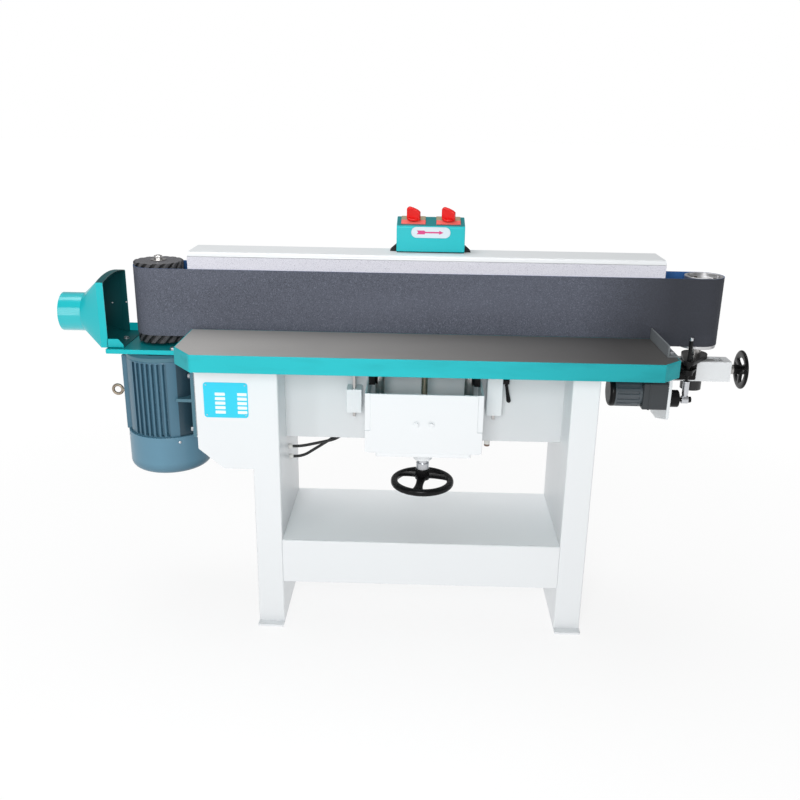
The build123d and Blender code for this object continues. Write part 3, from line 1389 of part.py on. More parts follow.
# Bolt heads of the fixed frame: knee front, base plate, hood tray and motor feet
foot_bolt_z = [motor_mid_z - foot_bolt_pitch / 2, motor_mid_z + foot_bolt_pitch / 2]
foot_face_x = drive_x + motor_foot_h - foot_t_motor
knee_bolt_x = [stand_x - knee_bolt_pitch / 2, stand_x + knee_bolt_pitch / 2]
base_bolt_ys = [base_y0 + base_bolt_y, base_y1 - base_bolt_y]
with BuildPart() as frame_bolts:
    with BuildSketch(Plane.XZ.offset(-knee_front)):
        with Locations(*[(x, knee_bolt_z) for x in knee_bolt_x]):
            RegularPolygon(bolt_head_r, 6)
    extrude(amount=bolt_head_h)
    with BuildSketch(Plane.XY.offset(base_top)):
        with Locations(*[(base_step_x - base_bolt_x, y) for y in base_bolt_ys]):
            RegularPolygon(bolt_head_r, 6)
    extrude(amount=bolt_head_h)
    with BuildSketch(Plane.XY.offset(base_top + hood_t)):
        with Locations((hood_mouth_x + tray_bolt_x, drive_y)):
            RegularPolygon(bolt_head_r, 6)
    extrude(amount=bolt_head_h)
    with BuildSketch(Plane.YZ.offset(foot_face_x)):
        with Locations(*[(y, z) for y in foot_y for z in foot_bolt_z]):
            RegularPolygon(bolt_head_r, 6)
    extrude(amount=-bolt_head_h)
frame_bolts.part.label = "frame_bolts"
export_step(frame_bolts.part, "parts/frame_bolts.step")

# Two cables from the left leg into the beam's floor
cable_end_z = beam_floor_z + sheet_t + cable_tail
cable_routes = []
for bends, hole, way_out in zip(cable_bends, cable_holes, cable_exits):
    route = [(leg_in_l - cable_tail, *hole)]
    route += [(leg_in_l + along, belt_y + across, beam_floor_z + up) for along, across, up in bends]
    route += [(*way_out, cable_end_z)]
    cable_routes.append(route)
lower_route, upper_route = cable_routes


def bend_radii(route):
    """Largest radius at each corner: 0.45 of the shorter run over the tangent of half the turn."""
    out = []
    for a, b, c in zip(route, route[1:], route[2:]):
        first = Vector(*b) - Vector(*a)
        second = Vector(*c) - Vector(*b)
        half = radians(first.get_angle(second)) / 2
        out.append(0.45 * min(first.length, second.length) / max(sin(half) / cos(half), 1e-6))
    return out


for route in cable_routes:
    print("cable bend radii", [round(r, 1) for r in bend_radii(route)])
with BuildPart() as cables:
    with BuildLine() as lower_path:
        FilletPolyline(*lower_route, radius=bend_radii(lower_route))
    with BuildSketch(Plane(origin=lower_route[0], z_dir=(1, 0, 0))):
        Circle(cable_r)
    sweep(path=lower_path.wire())
    with BuildLine() as upper_path:
        FilletPolyline(*upper_route, radius=bend_radii(upper_route))
    with BuildSketch(Plane(origin=upper_route[0], z_dir=(1, 0, 0))):
        Circle(cable_r)
    sweep(path=upper_path.wire())
cables.part.label = "cables"
export_step(cables.part, "parts/cables.step")
print("cable lengths", round(lower_path.wire().length, 1), round(upper_path.wire().length, 1))

# Glands: a sleeve where each cable leaves the leg, a grommet in the beam and the supply inlet
cable_bore = cable_r + gland_clear
with BuildPart() as cable_glands:
    with Locations(*[(leg_in_l - sheet_t, y, z) for y, z in cable_holes]):
        Cylinder(grommet_r, sheet_t, rotation=(0, 90, 0), align=base)
    with Locations(*[(leg_in_l, y, z) for y, z in cable_holes]):
        Cylinder(gland_r, gland_l, rotation=(0, 90, 0), align=base)
    with Locations(*[(leg_in_l - sheet_t, y, z) for y, z in cable_holes]):
        Cylinder(cable_bore, gland_l + sheet_t, rotation=(0, 90, 0), align=base, mode=Mode.SUBTRACT)
    with Locations(*[(x, y, beam_floor_z) for x, y in cable_exits]):
        Cylinder(grommet_r, sheet_t, align=base)
        Cylinder(cable_bore, sheet_t, align=base, mode=Mode.SUBTRACT)
    with Locations((leg_out_l - inlet_side, leg_back - inlet_back, cabinet_low_z)):
        Cylinder(grommet_r, cabinet_wall, align=base)
        Cylinder(gland_r + 4.0, gland_l, align=top)
    with Locations((stand_x + beam_gland_x, belt_y, beam_floor_z)):
        Cylinder(gland_r + 1.0, beam_gland_l, align=top)
cable_glands.part.label = "cable_glands"
export_step(cable_glands.part, "parts/cable_glands.step")
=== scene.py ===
"""Oscillating edge sander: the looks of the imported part, laid out as a Blender add-on.

Shapes are worked out in millimetres in the part's own frame (+X along the belt, -Y towards the
operator, +Z up) and go into their meshes in metres.
"""
from math import atan2, cos, pi, radians, sin, sqrt

import bpy
import numpy as np
from mathutils import Matrix, Vector


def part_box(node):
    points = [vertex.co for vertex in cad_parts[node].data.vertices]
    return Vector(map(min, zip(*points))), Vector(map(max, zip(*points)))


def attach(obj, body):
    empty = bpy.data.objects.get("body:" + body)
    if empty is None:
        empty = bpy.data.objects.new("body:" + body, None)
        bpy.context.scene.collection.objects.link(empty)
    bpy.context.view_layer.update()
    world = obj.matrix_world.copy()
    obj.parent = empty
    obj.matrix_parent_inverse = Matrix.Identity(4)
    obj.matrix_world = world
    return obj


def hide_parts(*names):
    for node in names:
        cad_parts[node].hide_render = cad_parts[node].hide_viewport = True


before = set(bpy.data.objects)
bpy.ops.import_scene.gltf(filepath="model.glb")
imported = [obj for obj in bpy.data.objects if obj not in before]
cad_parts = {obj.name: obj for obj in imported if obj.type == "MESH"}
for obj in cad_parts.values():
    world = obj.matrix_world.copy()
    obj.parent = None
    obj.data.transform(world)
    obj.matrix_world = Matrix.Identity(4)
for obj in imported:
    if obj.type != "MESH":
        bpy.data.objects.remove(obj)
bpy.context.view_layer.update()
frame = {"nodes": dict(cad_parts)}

bl_info = {
    "name": "Edge sander dressing",
    "version": (1, 0, 0),
    "blender": (4, 5, 0),
    "location": "3D View > Sidebar > Sander",
    "description": "Gives the packed edge sander its surfaces, finishes, light and camera",
    "category": "Object",
}

# Sizes that several pieces share, in millimetres
AXIS_POINT = 0.02                       # radius at which a turned profile closes on its axis
MOTOR_FOOT_SPREAD = 80.0                # middle of a motor foot from the motor's axis
MOTOR_FOOT_HALF = 21.0                  # half of a foot's width
MOTOR_FOOT_SPAN = (494.5, 680.5)        # height of the feet and of the rails behind them
MOTOR_FOOT_BACK = 18.0                  # depth of the solid's foot, on which the bolts stand
BASE_TOP = 740.0                        # top of the base plate
POST_R = 12.0                           # guide posts
CRANK_Y, CRANK_Z, CRANK_PIN_Z = 3.0, 634.0, 631.5
CLAMP_PIVOT_Z = 684.0


def place(node):
    """Lowest and highest corner of a CAD node in millimetres."""
    low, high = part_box(node)
    return 1000 * np.array(low), 1000 * np.array(high)


def middle_of(node):
    """Middle of a CAD node's box in millimetres."""
    low, high = place(node)
    return (low + high) / 2


def linear(red, green, blue):
    """Linear colour of 0-255 display values: ((c / 255 + 0.055) / 1.055) ** 2.4 above the toe."""
    shown = np.array([red, green, blue]) / 255
    value = np.where(shown <= 0.04045, shown / 12.92, ((shown + 0.055) / 1.055) ** 2.4)
    return tuple(float(v) for v in value)


# Surfaces

def unit(vectors):
    """Vectors over their own lengths."""
    return vectors / np.linalg.norm(vectors, axis=-1, keepdims=True)


def circle(sides):
    """Evenly spaced angles of one turn."""
    return np.linspace(0, 2 * pi, sides, endpoint=False)


def rounded(corners, radius, steps=4, lead=0.3, closed=True):
    """Outline whose corners become arcs.

    At a corner P with unit directions a and b along its two sides and half the angle between them
    h, the arc's centre lies r / sin h along the bisector, and the arc runs from P + a r / tan h to
    P + b r / tan h. One point just outside each end of the arc keeps the straight sides flat.
    """
    points = np.asarray(corners, float)
    r = np.broadcast_to(np.asarray(radius, float), len(points))[:, None]
    a = unit(np.roll(points, 1, 0) - points)
    b = unit(np.roll(points, -1, 0) - points)
    half = np.arccos(np.clip((a * b).sum(1, keepdims=True), -1, 1)) / 2
    reach = r / np.tan(half)
    centre = points + unit(a + b) * r / np.sin(half)
    start, end = points + a * reach, points + b * reach
    turn = (pi - 2 * half)[:, None]
    s = np.linspace(0, 1, steps + 1)[None, :, None]
    swept = (np.sin((1 - s) * turn) * (start - centre)[:, None]
             + np.sin(s * turn) * (end - centre)[:, None])
    arc = centre[:, None] + swept / np.sin(turn)
    arc = np.concatenate([(start + a * lead)[:, None], arc, (end + b * lead)[:, None]], 1)
    if closed:
        return arc.reshape(-1, 2)
    return np.concatenate([points[:1], arc[1:-1].reshape(-1, 2), points[-1:]])


def inset(corners, depth):
    """Polygon moved inwards: a corner goes depth (n1 + n2) / (1 + n1.n2), n its sides' normals."""
    points = np.asarray(corners, float)
    side = unit(np.roll(points, -1, 0) - points)
    after = np.stack([-side[:, 1], side[:, 0]], 1)
    before = np.roll(after, 1, 0)
    return points + depth * (before + after) / (1 + (before * after).sum(1, keepdims=True))


def outward_turn(corners):
    """+1 at a corner that points out of a counter-clockwise polygon, -1 at one that points in."""
    points = np.asarray(corners, float)
    before, after = points - np.roll(points, 1, 0), np.roll(points, -1, 0) - points
    return np.sign(before[:, 0] * after[:, 1] - before[:, 1] * after[:, 0])


def along(u, v, h, axis):
    """Points from (u, v) across an axis and h along it: u and v are x and y for Z, y and z for X,
    z and x for Y."""
    order = {"X": (2, 0, 1), "Y": (1, 2, 0), "Z": (0, 1, 2)}[axis]
    return np.stack(np.broadcast_arrays(u, v, h), -1)[..., order]


def across(axis):
    """Numbers of the two coordinates across an axis."""
    return {"X": (1, 2), "Y": (0, 2), "Z": (0, 1)}[axis]


def stack(rings, loop=False):
    """Skin through rings of points (rows, points, 3): quads between neighbours and a face over each
    end, or, with loop, quads from the last ring back to the first."""
    rows, count = rings.shape[:2]
    low = np.arange(rows * count).reshape(rows, count)
    low_ahead = np.roll(low, -1, 1)
    high, high_ahead = np.roll(low, -1, 0), np.roll(low_ahead, -1, 0)
    quads = np.stack([low, low_ahead, high_ahead, high], -1)
    faces = quads[:rows if loop else rows - 1].reshape(-1, 4).tolist()
    if not loop:
        faces += [low[0][::-1].tolist(), low[-1].tolist()]
    return rings.reshape(-1, 3), faces


def oriented(corners, radius, axis):
    """Corners as (u, v) of their axis, counter-clockwise, with a radius for each."""
    points = np.asarray(corners, float)
    r = np.broadcast_to(np.asarray(radius, float), len(points))
    if axis == "Y":
        points = points[:, ::-1]
    ahead = np.roll(points, -1, 0)
    if (points[:, 0] * ahead[:, 1] - ahead[:, 0] * points[:, 1]).sum() < 0:
        points, r = points[::-1], r[::-1]
    return points, r


def skirt(corners, profile, axis="Z", radius=1.0, steps=4):
    """Profile of (depth, height) carried round a rounded outline, which a ring has inset by depth.

    Corners are (x, y) for Z, (y, z) for X and (x, z) for Y.
    """
    points, r = oriented(corners, radius, axis)
    bend = outward_turn(points)
    rings = []
    for depth, height in profile:
        uv = rounded(inset(points, depth), np.maximum(r - depth * bend, 0.05), steps)
        rings.append(along(uv[:, 0], uv[:, 1], height, axis))
    return stack(np.array(rings))


def rim_profile(low, high, edge, lead, steps, flat):
    """Depth and height up a plate with rounded rims: at turn t of a rim the outline is inset by
    edge (1 - sin t) and lies edge (1 - cos t) from its end. Lead is the margin of the end faces
    and, with flat, of the straight side."""
    turns = np.linspace(0, pi / 2, steps)
    depth = np.concatenate([[edge + lead], edge * (1 - np.sin(turns)), flat * [0]])
    rise = np.concatenate([[0], edge * (1 - np.cos(turns)), flat * [edge + lead]])
    depths = np.concatenate([depth, depth[::-1]])
    return np.stack([depths, np.concatenate([low + rise, high - rise[::-1]])], 1)


def prism(corners, low, high, axis="Z", radius=1.0, edge=1.0, steps=4):
    """Bar of a rounded outline from low to high along an axis: a skirt with round rims."""
    profile = rim_profile(low, high, edge, min(0.3, 0.3 * edge), steps, 1)
    return skirt(corners, profile, axis, radius, steps)


def rectangle(left, bottom, right, top):
    """Four corners, counter-clockwise."""
    return [(left, bottom), (right, bottom), (right, top), (left, top)]


def box(low, high, radius=1.0, edge=1.0, axis="Z", steps=3):
    """Rounded box between two corners: a prism of its rectangle along an axis."""
    first, second = across(axis)
    third = 3 - first - second
    corners = rectangle(low[first], low[second], high[first], high[second])
    return prism(corners, low[third], high[third], axis, radius, edge, steps)


def lathe(profile, centre, axis="Z", sides=64, loop=False):
    """Profile of (radius, height) turned about an axis through centre: r cos t, r sin t, h."""
    path = np.asarray(profile, float)
    turn = circle(sides)[None, :]
    r, h = path[:, 0:1], path[:, 1:2]
    rings = along(r * np.cos(turn), r * np.sin(turn), h, axis) + np.asarray(centre, float)
    return stack(rings, loop)


def turned(path, radius, centre, axis="Z", sides=64, steps=3, lead=0.2):
    """Solid of a rounded open profile turned about an axis, with a face over each end."""
    return lathe(rounded(path, radius, steps, lead, closed=False), centre, axis, sides)


def bored(path, radius, centre, axis="Z", sides=56, steps=3, lead=0.2):
    """Hollow solid of a rounded closed profile, turned about an axis that it doesn't touch."""
    return lathe(rounded(path, radius, steps, lead), centre, axis, sides, loop=True)


def round_bar(radius, low, high, centre, axis="Z", edge=0.8, sides=48):
    """Cylinder with rounded rims: a profile from the axis, out, up and back in, turned."""
    path = [(AXIS_POINT, low), (radius, low), (radius, high), (AXIS_POINT, high)]
    return turned(path, edge, centre, axis, sides, 3, min(0.3, 0.3 * edge))


def ring(inner, outer, low, high, centre, axis="Z", edge=0.6, sides=64):
    """Tube with rounded rims: a rounded rectangle turned about the axis."""
    return bored(rectangle(inner, low, outer, high), edge, centre, axis, sides)


def torus(radius, wire, centre, axis="Z", sides=96, round_sides=20):
    """Round ring: a lathe of a circle of the wire's radius at the ring's radius."""
    t = circle(round_sides)
    section = np.stack([radius + wire * np.cos(t), wire * np.sin(t)], 1)
    return lathe(section, centre, axis, sides, loop=True)


def hexagon(radius, low, high, centre, axis="Z", edge=0.7, turn=0.0):
    """Hexagonal head: a prism of six corners at a radius about centre."""
    t = turn + np.arange(6) * pi / 3
    first, second = across(axis)
    corners = np.stack([centre[first] + radius * np.cos(t), centre[second] + radius * np.sin(t)], 1)
    return prism(corners, low, high, axis, 0.4, edge, 3)


def squarish(values, power):
    """Values drawn towards +1 and -1: sign(v) |v| ** power."""
    return np.sign(values) * np.abs(values) ** power


def bar(start, end, side, wide, thick, hub=1.0, rim=1.0):
    """Spoke between two points: superellipse sections whose width grows towards both ends.

    At s from 0 to 1 the width is wide (1 + hub (1 - s)^4 + rim s^4); the section is
    |c|^0.6 sign(c) along side and |q|^0.6 sign(q) thick along the third direction.
    """
    start, end = np.asarray(start, float), np.asarray(end, float)
    side = unit(np.asarray(side, float))
    third = np.cross(unit(end - start), side)
    s = np.linspace(0, 1, 14)[:, None, None]
    t = circle(20)[None, :, None]
    c, q = squarish(np.cos(t), 0.6), squarish(np.sin(t), 0.6)
    width = wide / 2 * (1 + hub * (1 - s) ** 4 + rim * s**4)
    return stack(start + (end - start) * s + side * c * width + third * q * thick / 2)


def screw_thread(radius, depth, pitch, low, high, centre):
    """Threaded bar: r = radius - depth k, k = clip(0.5 + 0.8 cos(2 pi h / pitch - t), 0, 1)."""
    rows_a_turn = 8
    h = np.linspace(low, high, int((high - low) / pitch * rows_a_turn) + 1)[:, None]
    t = circle(28)[None, :]
    r = radius - depth * np.clip(0.5 + 0.8 * np.cos(2 * pi * h / pitch - t), 0, 1)
    return stack(along(r * np.cos(t), r * np.sin(t), h + 0 * t, "Z") + np.asarray(centre, float))


def screw_head(spot, out, radius, height):
    """Domed screw head: r and h follow a quarter ellipse about its outward line."""
    t = circle(24)[None, :, None]
    s = np.linspace(0, pi / 2, 6)[:, None, None]
    out = unit(np.asarray(out, float))
    side = unit(np.cross(out, (0.0, 0.0, 1.0) if abs(out[2]) < 0.9 else (0.0, 1.0, 0.0)))
    third = np.cross(out, side)
    r, h = radius * np.cos(s) + 0.01, height * np.sin(s)
    return stack(np.asarray(spot, float) + (side * np.cos(t) + third * np.sin(t)) * r + out * h)


def loop_of(first, first_r, second, second_r, points=56):
    """Outline round two circles: the arc of each that faces away from the other, and the tangents.

    With d from the first centre to the second and a = acos((r1 - r2) / |d|), the tangent points lie
    at angles +a and -a from d on both circles.
    """
    first, second = np.asarray(first, float), np.asarray(second, float)
    gap = second - first
    ahead = atan2(gap[1], gap[0])
    a = np.arccos((first_r - second_r) / np.hypot(*gap))
    near = np.linspace(ahead - a, ahead + a, points)
    far = np.linspace(ahead + a, ahead - a + 2 * pi, points)
    return np.concatenate([
        second + second_r * np.stack([np.cos(near), np.sin(near)], 1),
        first + first_r * np.stack([np.cos(far), np.sin(far)], 1),
    ])


def divided(path, count):
    """Closed path as a count of points at even shares of its own length."""
    closed = np.concatenate([path, path[:1]])
    run = np.concatenate([[0], np.cumsum(np.linalg.norm(np.diff(closed, axis=0), axis=1))])
    s = np.linspace(0, run[-1], count, endpoint=False)
    return np.stack([np.interp(s, run, closed[:, 0]), np.interp(s, run, closed[:, 1])], 1)


def tabs(outline, low, high, edge, axis="Z"):
    """Plate of a smooth outline with soft rims: each ring shrinks the outline along its normals."""
    points = np.asarray(outline, float)
    ahead = unit(np.roll(points, -1, 0) - np.roll(points, 1, 0))
    out = np.stack([ahead[:, 1], -ahead[:, 0]], 1)
    depth, height = rim_profile(low, high, edge, 0.3, 4, 0).T[:, :, None]
    uv = points - out * depth[..., None]
    return stack(along(uv[..., 0], uv[..., 1], height, axis))


def tilted(surface, origin, x, y, z):
    """Surface given in a local frame, moved to origin and turned to three directions."""
    points, faces = surface
    return np.asarray(origin, float) + points @ np.array([x, y, z], float), faces


def handwheel(centre, axis, radius, wire, hub, hub_span, rim, root, spoke, first_turn, bore):
    """Three-spoke handwheel: rim ring of a squarish oval section, wire being its half-sizes across
    and along the axis, a hub, and spokes that flare at both ends.

    A spoke's middle runs straight from height root on the axis to height rim on the ring.
    """
    out, half = wire
    t = circle(28)
    section = np.stack([radius - out + out * squarish(np.cos(t), 0.85),
                        rim + half * squarish(np.sin(t), 0.85)], 1)
    low, high = hub_span
    surfaces = [
        lathe(section, centre, axis, 96, loop=True),
        bored(rectangle(bore, low, hub, high), 1.6, centre, axis, steps=4),
    ]
    start_r, reach = hub * 0.72, radius - out
    up = along(0.0, 0.0, 1.0, axis)
    for turn in radians(first_turn) + np.arange(3) * 2 * pi / 3:
        ahead = along(cos(turn), sin(turn), 0.0, axis)
        side = along(-sin(turn), cos(turn), 0.0, axis)
        start = np.asarray(centre) + ahead * start_r + up * (root + (rim - root) * start_r / reach)
        end = np.asarray(centre) + ahead * reach + up * rim
        surfaces.append(bar(start, end, side, *spoke, hub=0.5, rim=1.3))
    return surfaces


def bolt(washer, head, centre, axis="Z", sides=28, turn=0.0):
    """Washer (inner and outer radius, low and high) and hexagon (radius, low, high, edge)."""
    radius, low, high, edge = head
    return [ring(*washer, centre, axis, 0.3, sides),
            hexagon(radius, low, high, centre, axis, edge, turn)]


def end_boxes(node, wide, radius, edge):
    """Two boxes of a width at both ends of a CAD node's box."""
    low, high = place(node)
    return [box(low, (low[0] + wide, high[1], high[2]), radius, edge),
            box((high[0] - wide, low[1], low[2]), high, radius, edge)]


def foot_pads(axis_y, near, far, radius, edge):
    """Upright pads on both sides of the motor's axis, from near to far: its feet or their rails."""
    (low, high), half = MOTOR_FOOT_SPAN, MOTOR_FOOT_HALF
    return [box((near, y - half, low), (far, y + half, high), radius, edge, "X")
            for y in (axis_y - MOTOR_FOOT_SPREAD, axis_y + MOTOR_FOOT_SPREAD)]


def post_middles():
    """X of the two guide posts."""
    low, high = place("guide_posts")
    return low[0] + POST_R, high[0] - POST_R


def face_middles(surface):
    """Middle of the corners of each face."""
    points, faces = surface
    return np.array([points[face].mean(0) for face in faces])


class Skin:
    """Surfaces gathered into one piece; each may have its own material number."""

    def __init__(self):
        self.points, self.faces, self.marks, self.count = [], [], [], 0

    def add(self, surface, mark=0):
        points, faces = surface
        self.points.append(points)
        self.faces += [[corner + self.count for corner in face] for face in faces]
        self.marks += [mark] * len(faces)
        self.count += len(points)
        return self

    def piece(self, name, materials, slot, replaces=(), body="stand", sharp=35):
        """Mesh object of the gathered surfaces, riding a body and standing for CAD nodes."""
        mesh = bpy.data.meshes.new(name)
        points = np.concatenate(self.points) / 1000
        mesh.from_pydata(points.tolist(), [], self.faces)
        mesh.polygons.foreach_set("use_smooth", np.ones(len(self.faces), bool))
        mesh.polygons.foreach_set("material_index", np.array(self.marks, np.int32))
        mesh.set_sharp_from_angle(angle=radians(sharp))
        obj = bpy.data.objects.new(name, mesh)
        bpy.context.scene.collection.objects.link(obj)
        for material in materials:
            mesh.materials.append(bpy.data.materials[material])
        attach(obj, body)
        if replaces:
            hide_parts(*replaces)
        return obj


def piece(name, surfaces, material, slot, replaces=(), body="stand"):
    """One piece from a list of surfaces of one material."""
    skin = Skin()
    for surface in surfaces:
        skin.add(surface)
    return skin.piece(name, [material], slot, replaces, body)


def dress(material, *nodes):
    """Gives CAD nodes that keep their own mesh a finish."""
    for node in nodes:
        slots = frame["nodes"][node].data.materials
        slots.clear()
        slots.append(bpy.data.materials[material])


# Finishes

class Sock:
    """Output of a shader node; arithmetic on it adds Math nodes."""

    def __init__(self, finish, socket):
        self.finish, self.socket = finish, socket

    def maths(self, operation, first, second=0.0):
        return self.finish.node("ShaderNodeMath", {"operation": operation}, {0: first, 1: second})

    def __add__(self, other):
        return self.maths("ADD", self, other)

    __radd__ = __add__

    def __sub__(self, other):
        return self.maths("SUBTRACT", self, other)

    def __rsub__(self, other):
        return self.maths("SUBTRACT", other, self)

    def __mul__(self, other):
        return self.maths("MULTIPLY", self, other)

    __rmul__ = __mul__

    def __gt__(self, other):
        return self.maths("GREATER_THAN", self, other)

    def __lt__(self, other):
        return self.maths("LESS_THAN", self, other)

    def __abs__(self):
        return self.maths("ABSOLUTE", self)


class Finish:
    """Procedural material around one Principled shader."""

    def __init__(self, name):
        self.material = bpy.data.materials.new(name)
        self.material.use_nodes = True
        self.tree = self.material.node_tree
        self.tree.nodes.clear()
        self.shader = self.tree.nodes.new("ShaderNodeBsdfPrincipled")
        output = self.tree.nodes.new("ShaderNodeOutputMaterial")
        self.tree.links.new(self.shader.outputs[0], output.inputs[0])
        self.coords = self.node("ShaderNodeTexCoord", out="Object")

    def node(self, kind, settings=None, inputs=None, out=0):
        """New node of a kind: its settings first, then the values or links of its sockets."""
        made = self.tree.nodes.new(kind)
        for key, value in (settings or {}).items():
            setattr(made, key, value)
        for key, value in (inputs or {}).items():
            self.feed(made.inputs[key], value)
        return Sock(self, made.outputs[out])

    def feed(self, socket, value):
        """Links a node's output to a socket, or sets the socket to a value or colour."""
        if isinstance(value, Sock):
            self.tree.links.new(value.socket, socket)
        elif socket.type == "RGBA" and len(value) == 3:
            socket.default_value = (*value, 1)
        else:
            socket.default_value = value

    def set(self, **values):
        """Sets or links the Principled shader's sockets, named with _ for a space."""
        for key, value in values.items():
            self.feed(self.shader.inputs[key.replace("_", " ")], value)
        return self

    def tone(self):
        """Colour that feeds the shader so far."""
        return Sock(self, self.shader.inputs["Base Color"].links[0].from_socket)

    def axis(self, number):
        """One of the Object coordinates: 0 is X, 1 is Y, 2 is Z."""
        return self.node("ShaderNodeSeparateXYZ", None, {0: self.coords}, out=number)

    def noise(self, scale, detail=2.0, stretch=(1, 1, 1), rough=0.5, offset=(0, 0, 0)):
        """Noise of Object coordinates in metres, squeezed along each axis."""
        where = self.node("ShaderNodeMapping", None,
                          {"Vector": self.coords, "Scale": stretch, "Location": offset})
        return self.node("ShaderNodeTexNoise", None,
                         {"Vector": where, "Scale": scale, "Detail": detail, "Roughness": rough})

    def step(self, value, low, high):
        """0 below low, 1 above high."""
        return self.node("ShaderNodeMapRange", {"clamp": True}, {
            "Value": value, "From Min": low, "From Max": high, "To Min": 0.0, "To Max": 1.0})

    def mix(self, share, first, second):
        return self.node("ShaderNodeMix", {"data_type": "RGBA"},
                         {0: share, 6: first, 7: second}, out=2)

    def bump(self, height, strength, distance):
        return self.node("ShaderNodeBump", None, {
            "Height": height, "Strength": strength, "Distance": distance}, out="Normal")


# Orange peel of enamel on castings, of the gear motor's thick coat and of printed film
CAST_PEEL = {"peel": 0.12, "peel_scale": 420}
GEAR_PEEL = {"peel": 0.16, "peel_scale": 380}
PRINT_PEEL = {"peel": 0.02}


def shade(colour, factor):
    """Colour times a factor, held to 1."""
    return tuple(min(1.0, c * factor) for c in colour)


def paint(name, colour, rough=0.36, patch=0.05, peel=0.06, peel_scale=700):
    """Sprayed enamel: slow patches of tone, orange peel and faint handling marks in the gloss."""
    f = Finish(name)
    marks = f.step(f.noise(26.0, 4, (1, 1, 0.3)), 0.58, 0.78)
    return f.set(
        Base_Color=f.mix(f.noise(3.0, 3), shade(colour, 1 - patch), shade(colour, 1 + patch)),
        Roughness=rough - 0.05 + 0.1 * f.noise(11.0, 3) + 0.08 * marks,
        Normal=f.bump(f.noise(peel_scale, 2), peel, 0.0004),
        Coat_Roughness=0.12,
    )


def metal(name, colour, rough=0.3, stretch=(1, 1, 1), scale=350, contrast=0.12, tarnish=0.15):
    """Bare metal: fine tool lines along the long side of stretch, and clouds of tarnish."""
    f = Finish(name)
    lines = f.noise(scale, 3, stretch)
    cloud = f.step(f.noise(9.0, 4), 0.45, 0.75)
    base = f.mix(lines, shade(colour, 1 - contrast), shade(colour, 1 + contrast))
    return f.set(
        Base_Color=f.mix(cloud * tarnish, base, shade(colour, 0.55)),
        Metallic=1.0,
        Roughness=rough - 0.06 + 0.14 * lines + 0.12 * cloud,
        Normal=f.bump(lines, 0.04, 0.0003),
    )


def plastic(name, colour, rough=0.3, coat=0.0):
    """Moulded plastic: a fine moulded grain and slight changes of gloss."""
    f = Finish(name)
    return f.set(
        Base_Color=f.mix(f.noise(40.0, 3), shade(colour, 0.9), shade(colour, 1.08)),
        Roughness=rough - 0.05 + 0.1 * f.noise(60.0, 3),
        Normal=f.bump(f.noise(900, 2), 0.05, 0.0003),
        Coat_Weight=coat, Coat_Roughness=0.08,
    )


def grit(name, dark, light, speck, scale, rough, depth, cloud, bend_shading=0.0):
    """Coated cloth: scattered grains over a ground tone, and slow streaks of wear along the run."""
    f = Finish(name)
    grain = f.step(f.noise(scale, 2, rough=0.7), 0.38, 0.64)
    fleck = f.step(f.noise(scale * 0.8, 1, offset=(3, 1, 2)), 0.60, 0.70)
    streak = f.noise(7.0, 4, (0.25, 1, 1.4))
    ground = f.mix(grain, dark, light)
    worn_and_shaded = f.mix(f.step(streak, 0.35, 0.7) * cloud, ground, shade(light, 1.25))
    # Painted shade on the stretch in front of the idler, where the belt bends away from the light,
    # broken by the streaks; the flecks fade out in it
    bend_shade = f.step(f.axis(0), 0.46, 0.70) * (1 - f.step(f.axis(1), 0.04, 0.12)) * bend_shading
    worn_and_shaded = f.mix(bend_shade * (1 - 0.35 * f.step(streak, 0.52, 0.7)), worn_and_shaded, shade(dark, 0.45))
    return f.set(
        Base_Color=f.mix(fleck * 0.7 * (1 - 0.95 * f.step(bend_shade, 0.0, 0.6)), worn_and_shaded, speck),
        Roughness=rough + 0.12 * grain,
        Normal=f.bump(grain + 0.6 * fleck, 0.55, depth),
        Specular_IOR_Level=0.35,
    )


def table_top(name, colour):
    """Ground cast iron: fine grinding lines along X, pores and oil clouds, and a painted reflection
    that darkens it towards the idler.
    """
    f = Finish(name)
    lines = f.noise(520.0, 3, (0.03, 1, 1), rough=0.65)
    cloud = f.noise(5.0, 4, (0.6, 1, 1))
    # Pores are the near surroundings of scattered points
    points = f.node("ShaderNodeTexVoronoi", None, {"Vector": f.coords, "Scale": 420.0})
    pores = f.step(points, 0.0, 0.16)
    ground = f.mix(lines * 0.5 + cloud * 0.5, shade(colour, 0.78), shade(colour, 1.22))
    return f.set(
        # Painted reflection: lighter at the left end, darker towards the idler
        Base_Color=f.mix(f.step(f.axis(0), -0.55, 0.55), ground, shade(colour, 0.2)),
        Metallic=0.35,
        Roughness=0.33 + 0.12 * cloud + 0.08 * lines,
        Normal=f.bump(lines * 0.4 + pores * 0.6, 0.12, 0.0002),
    )


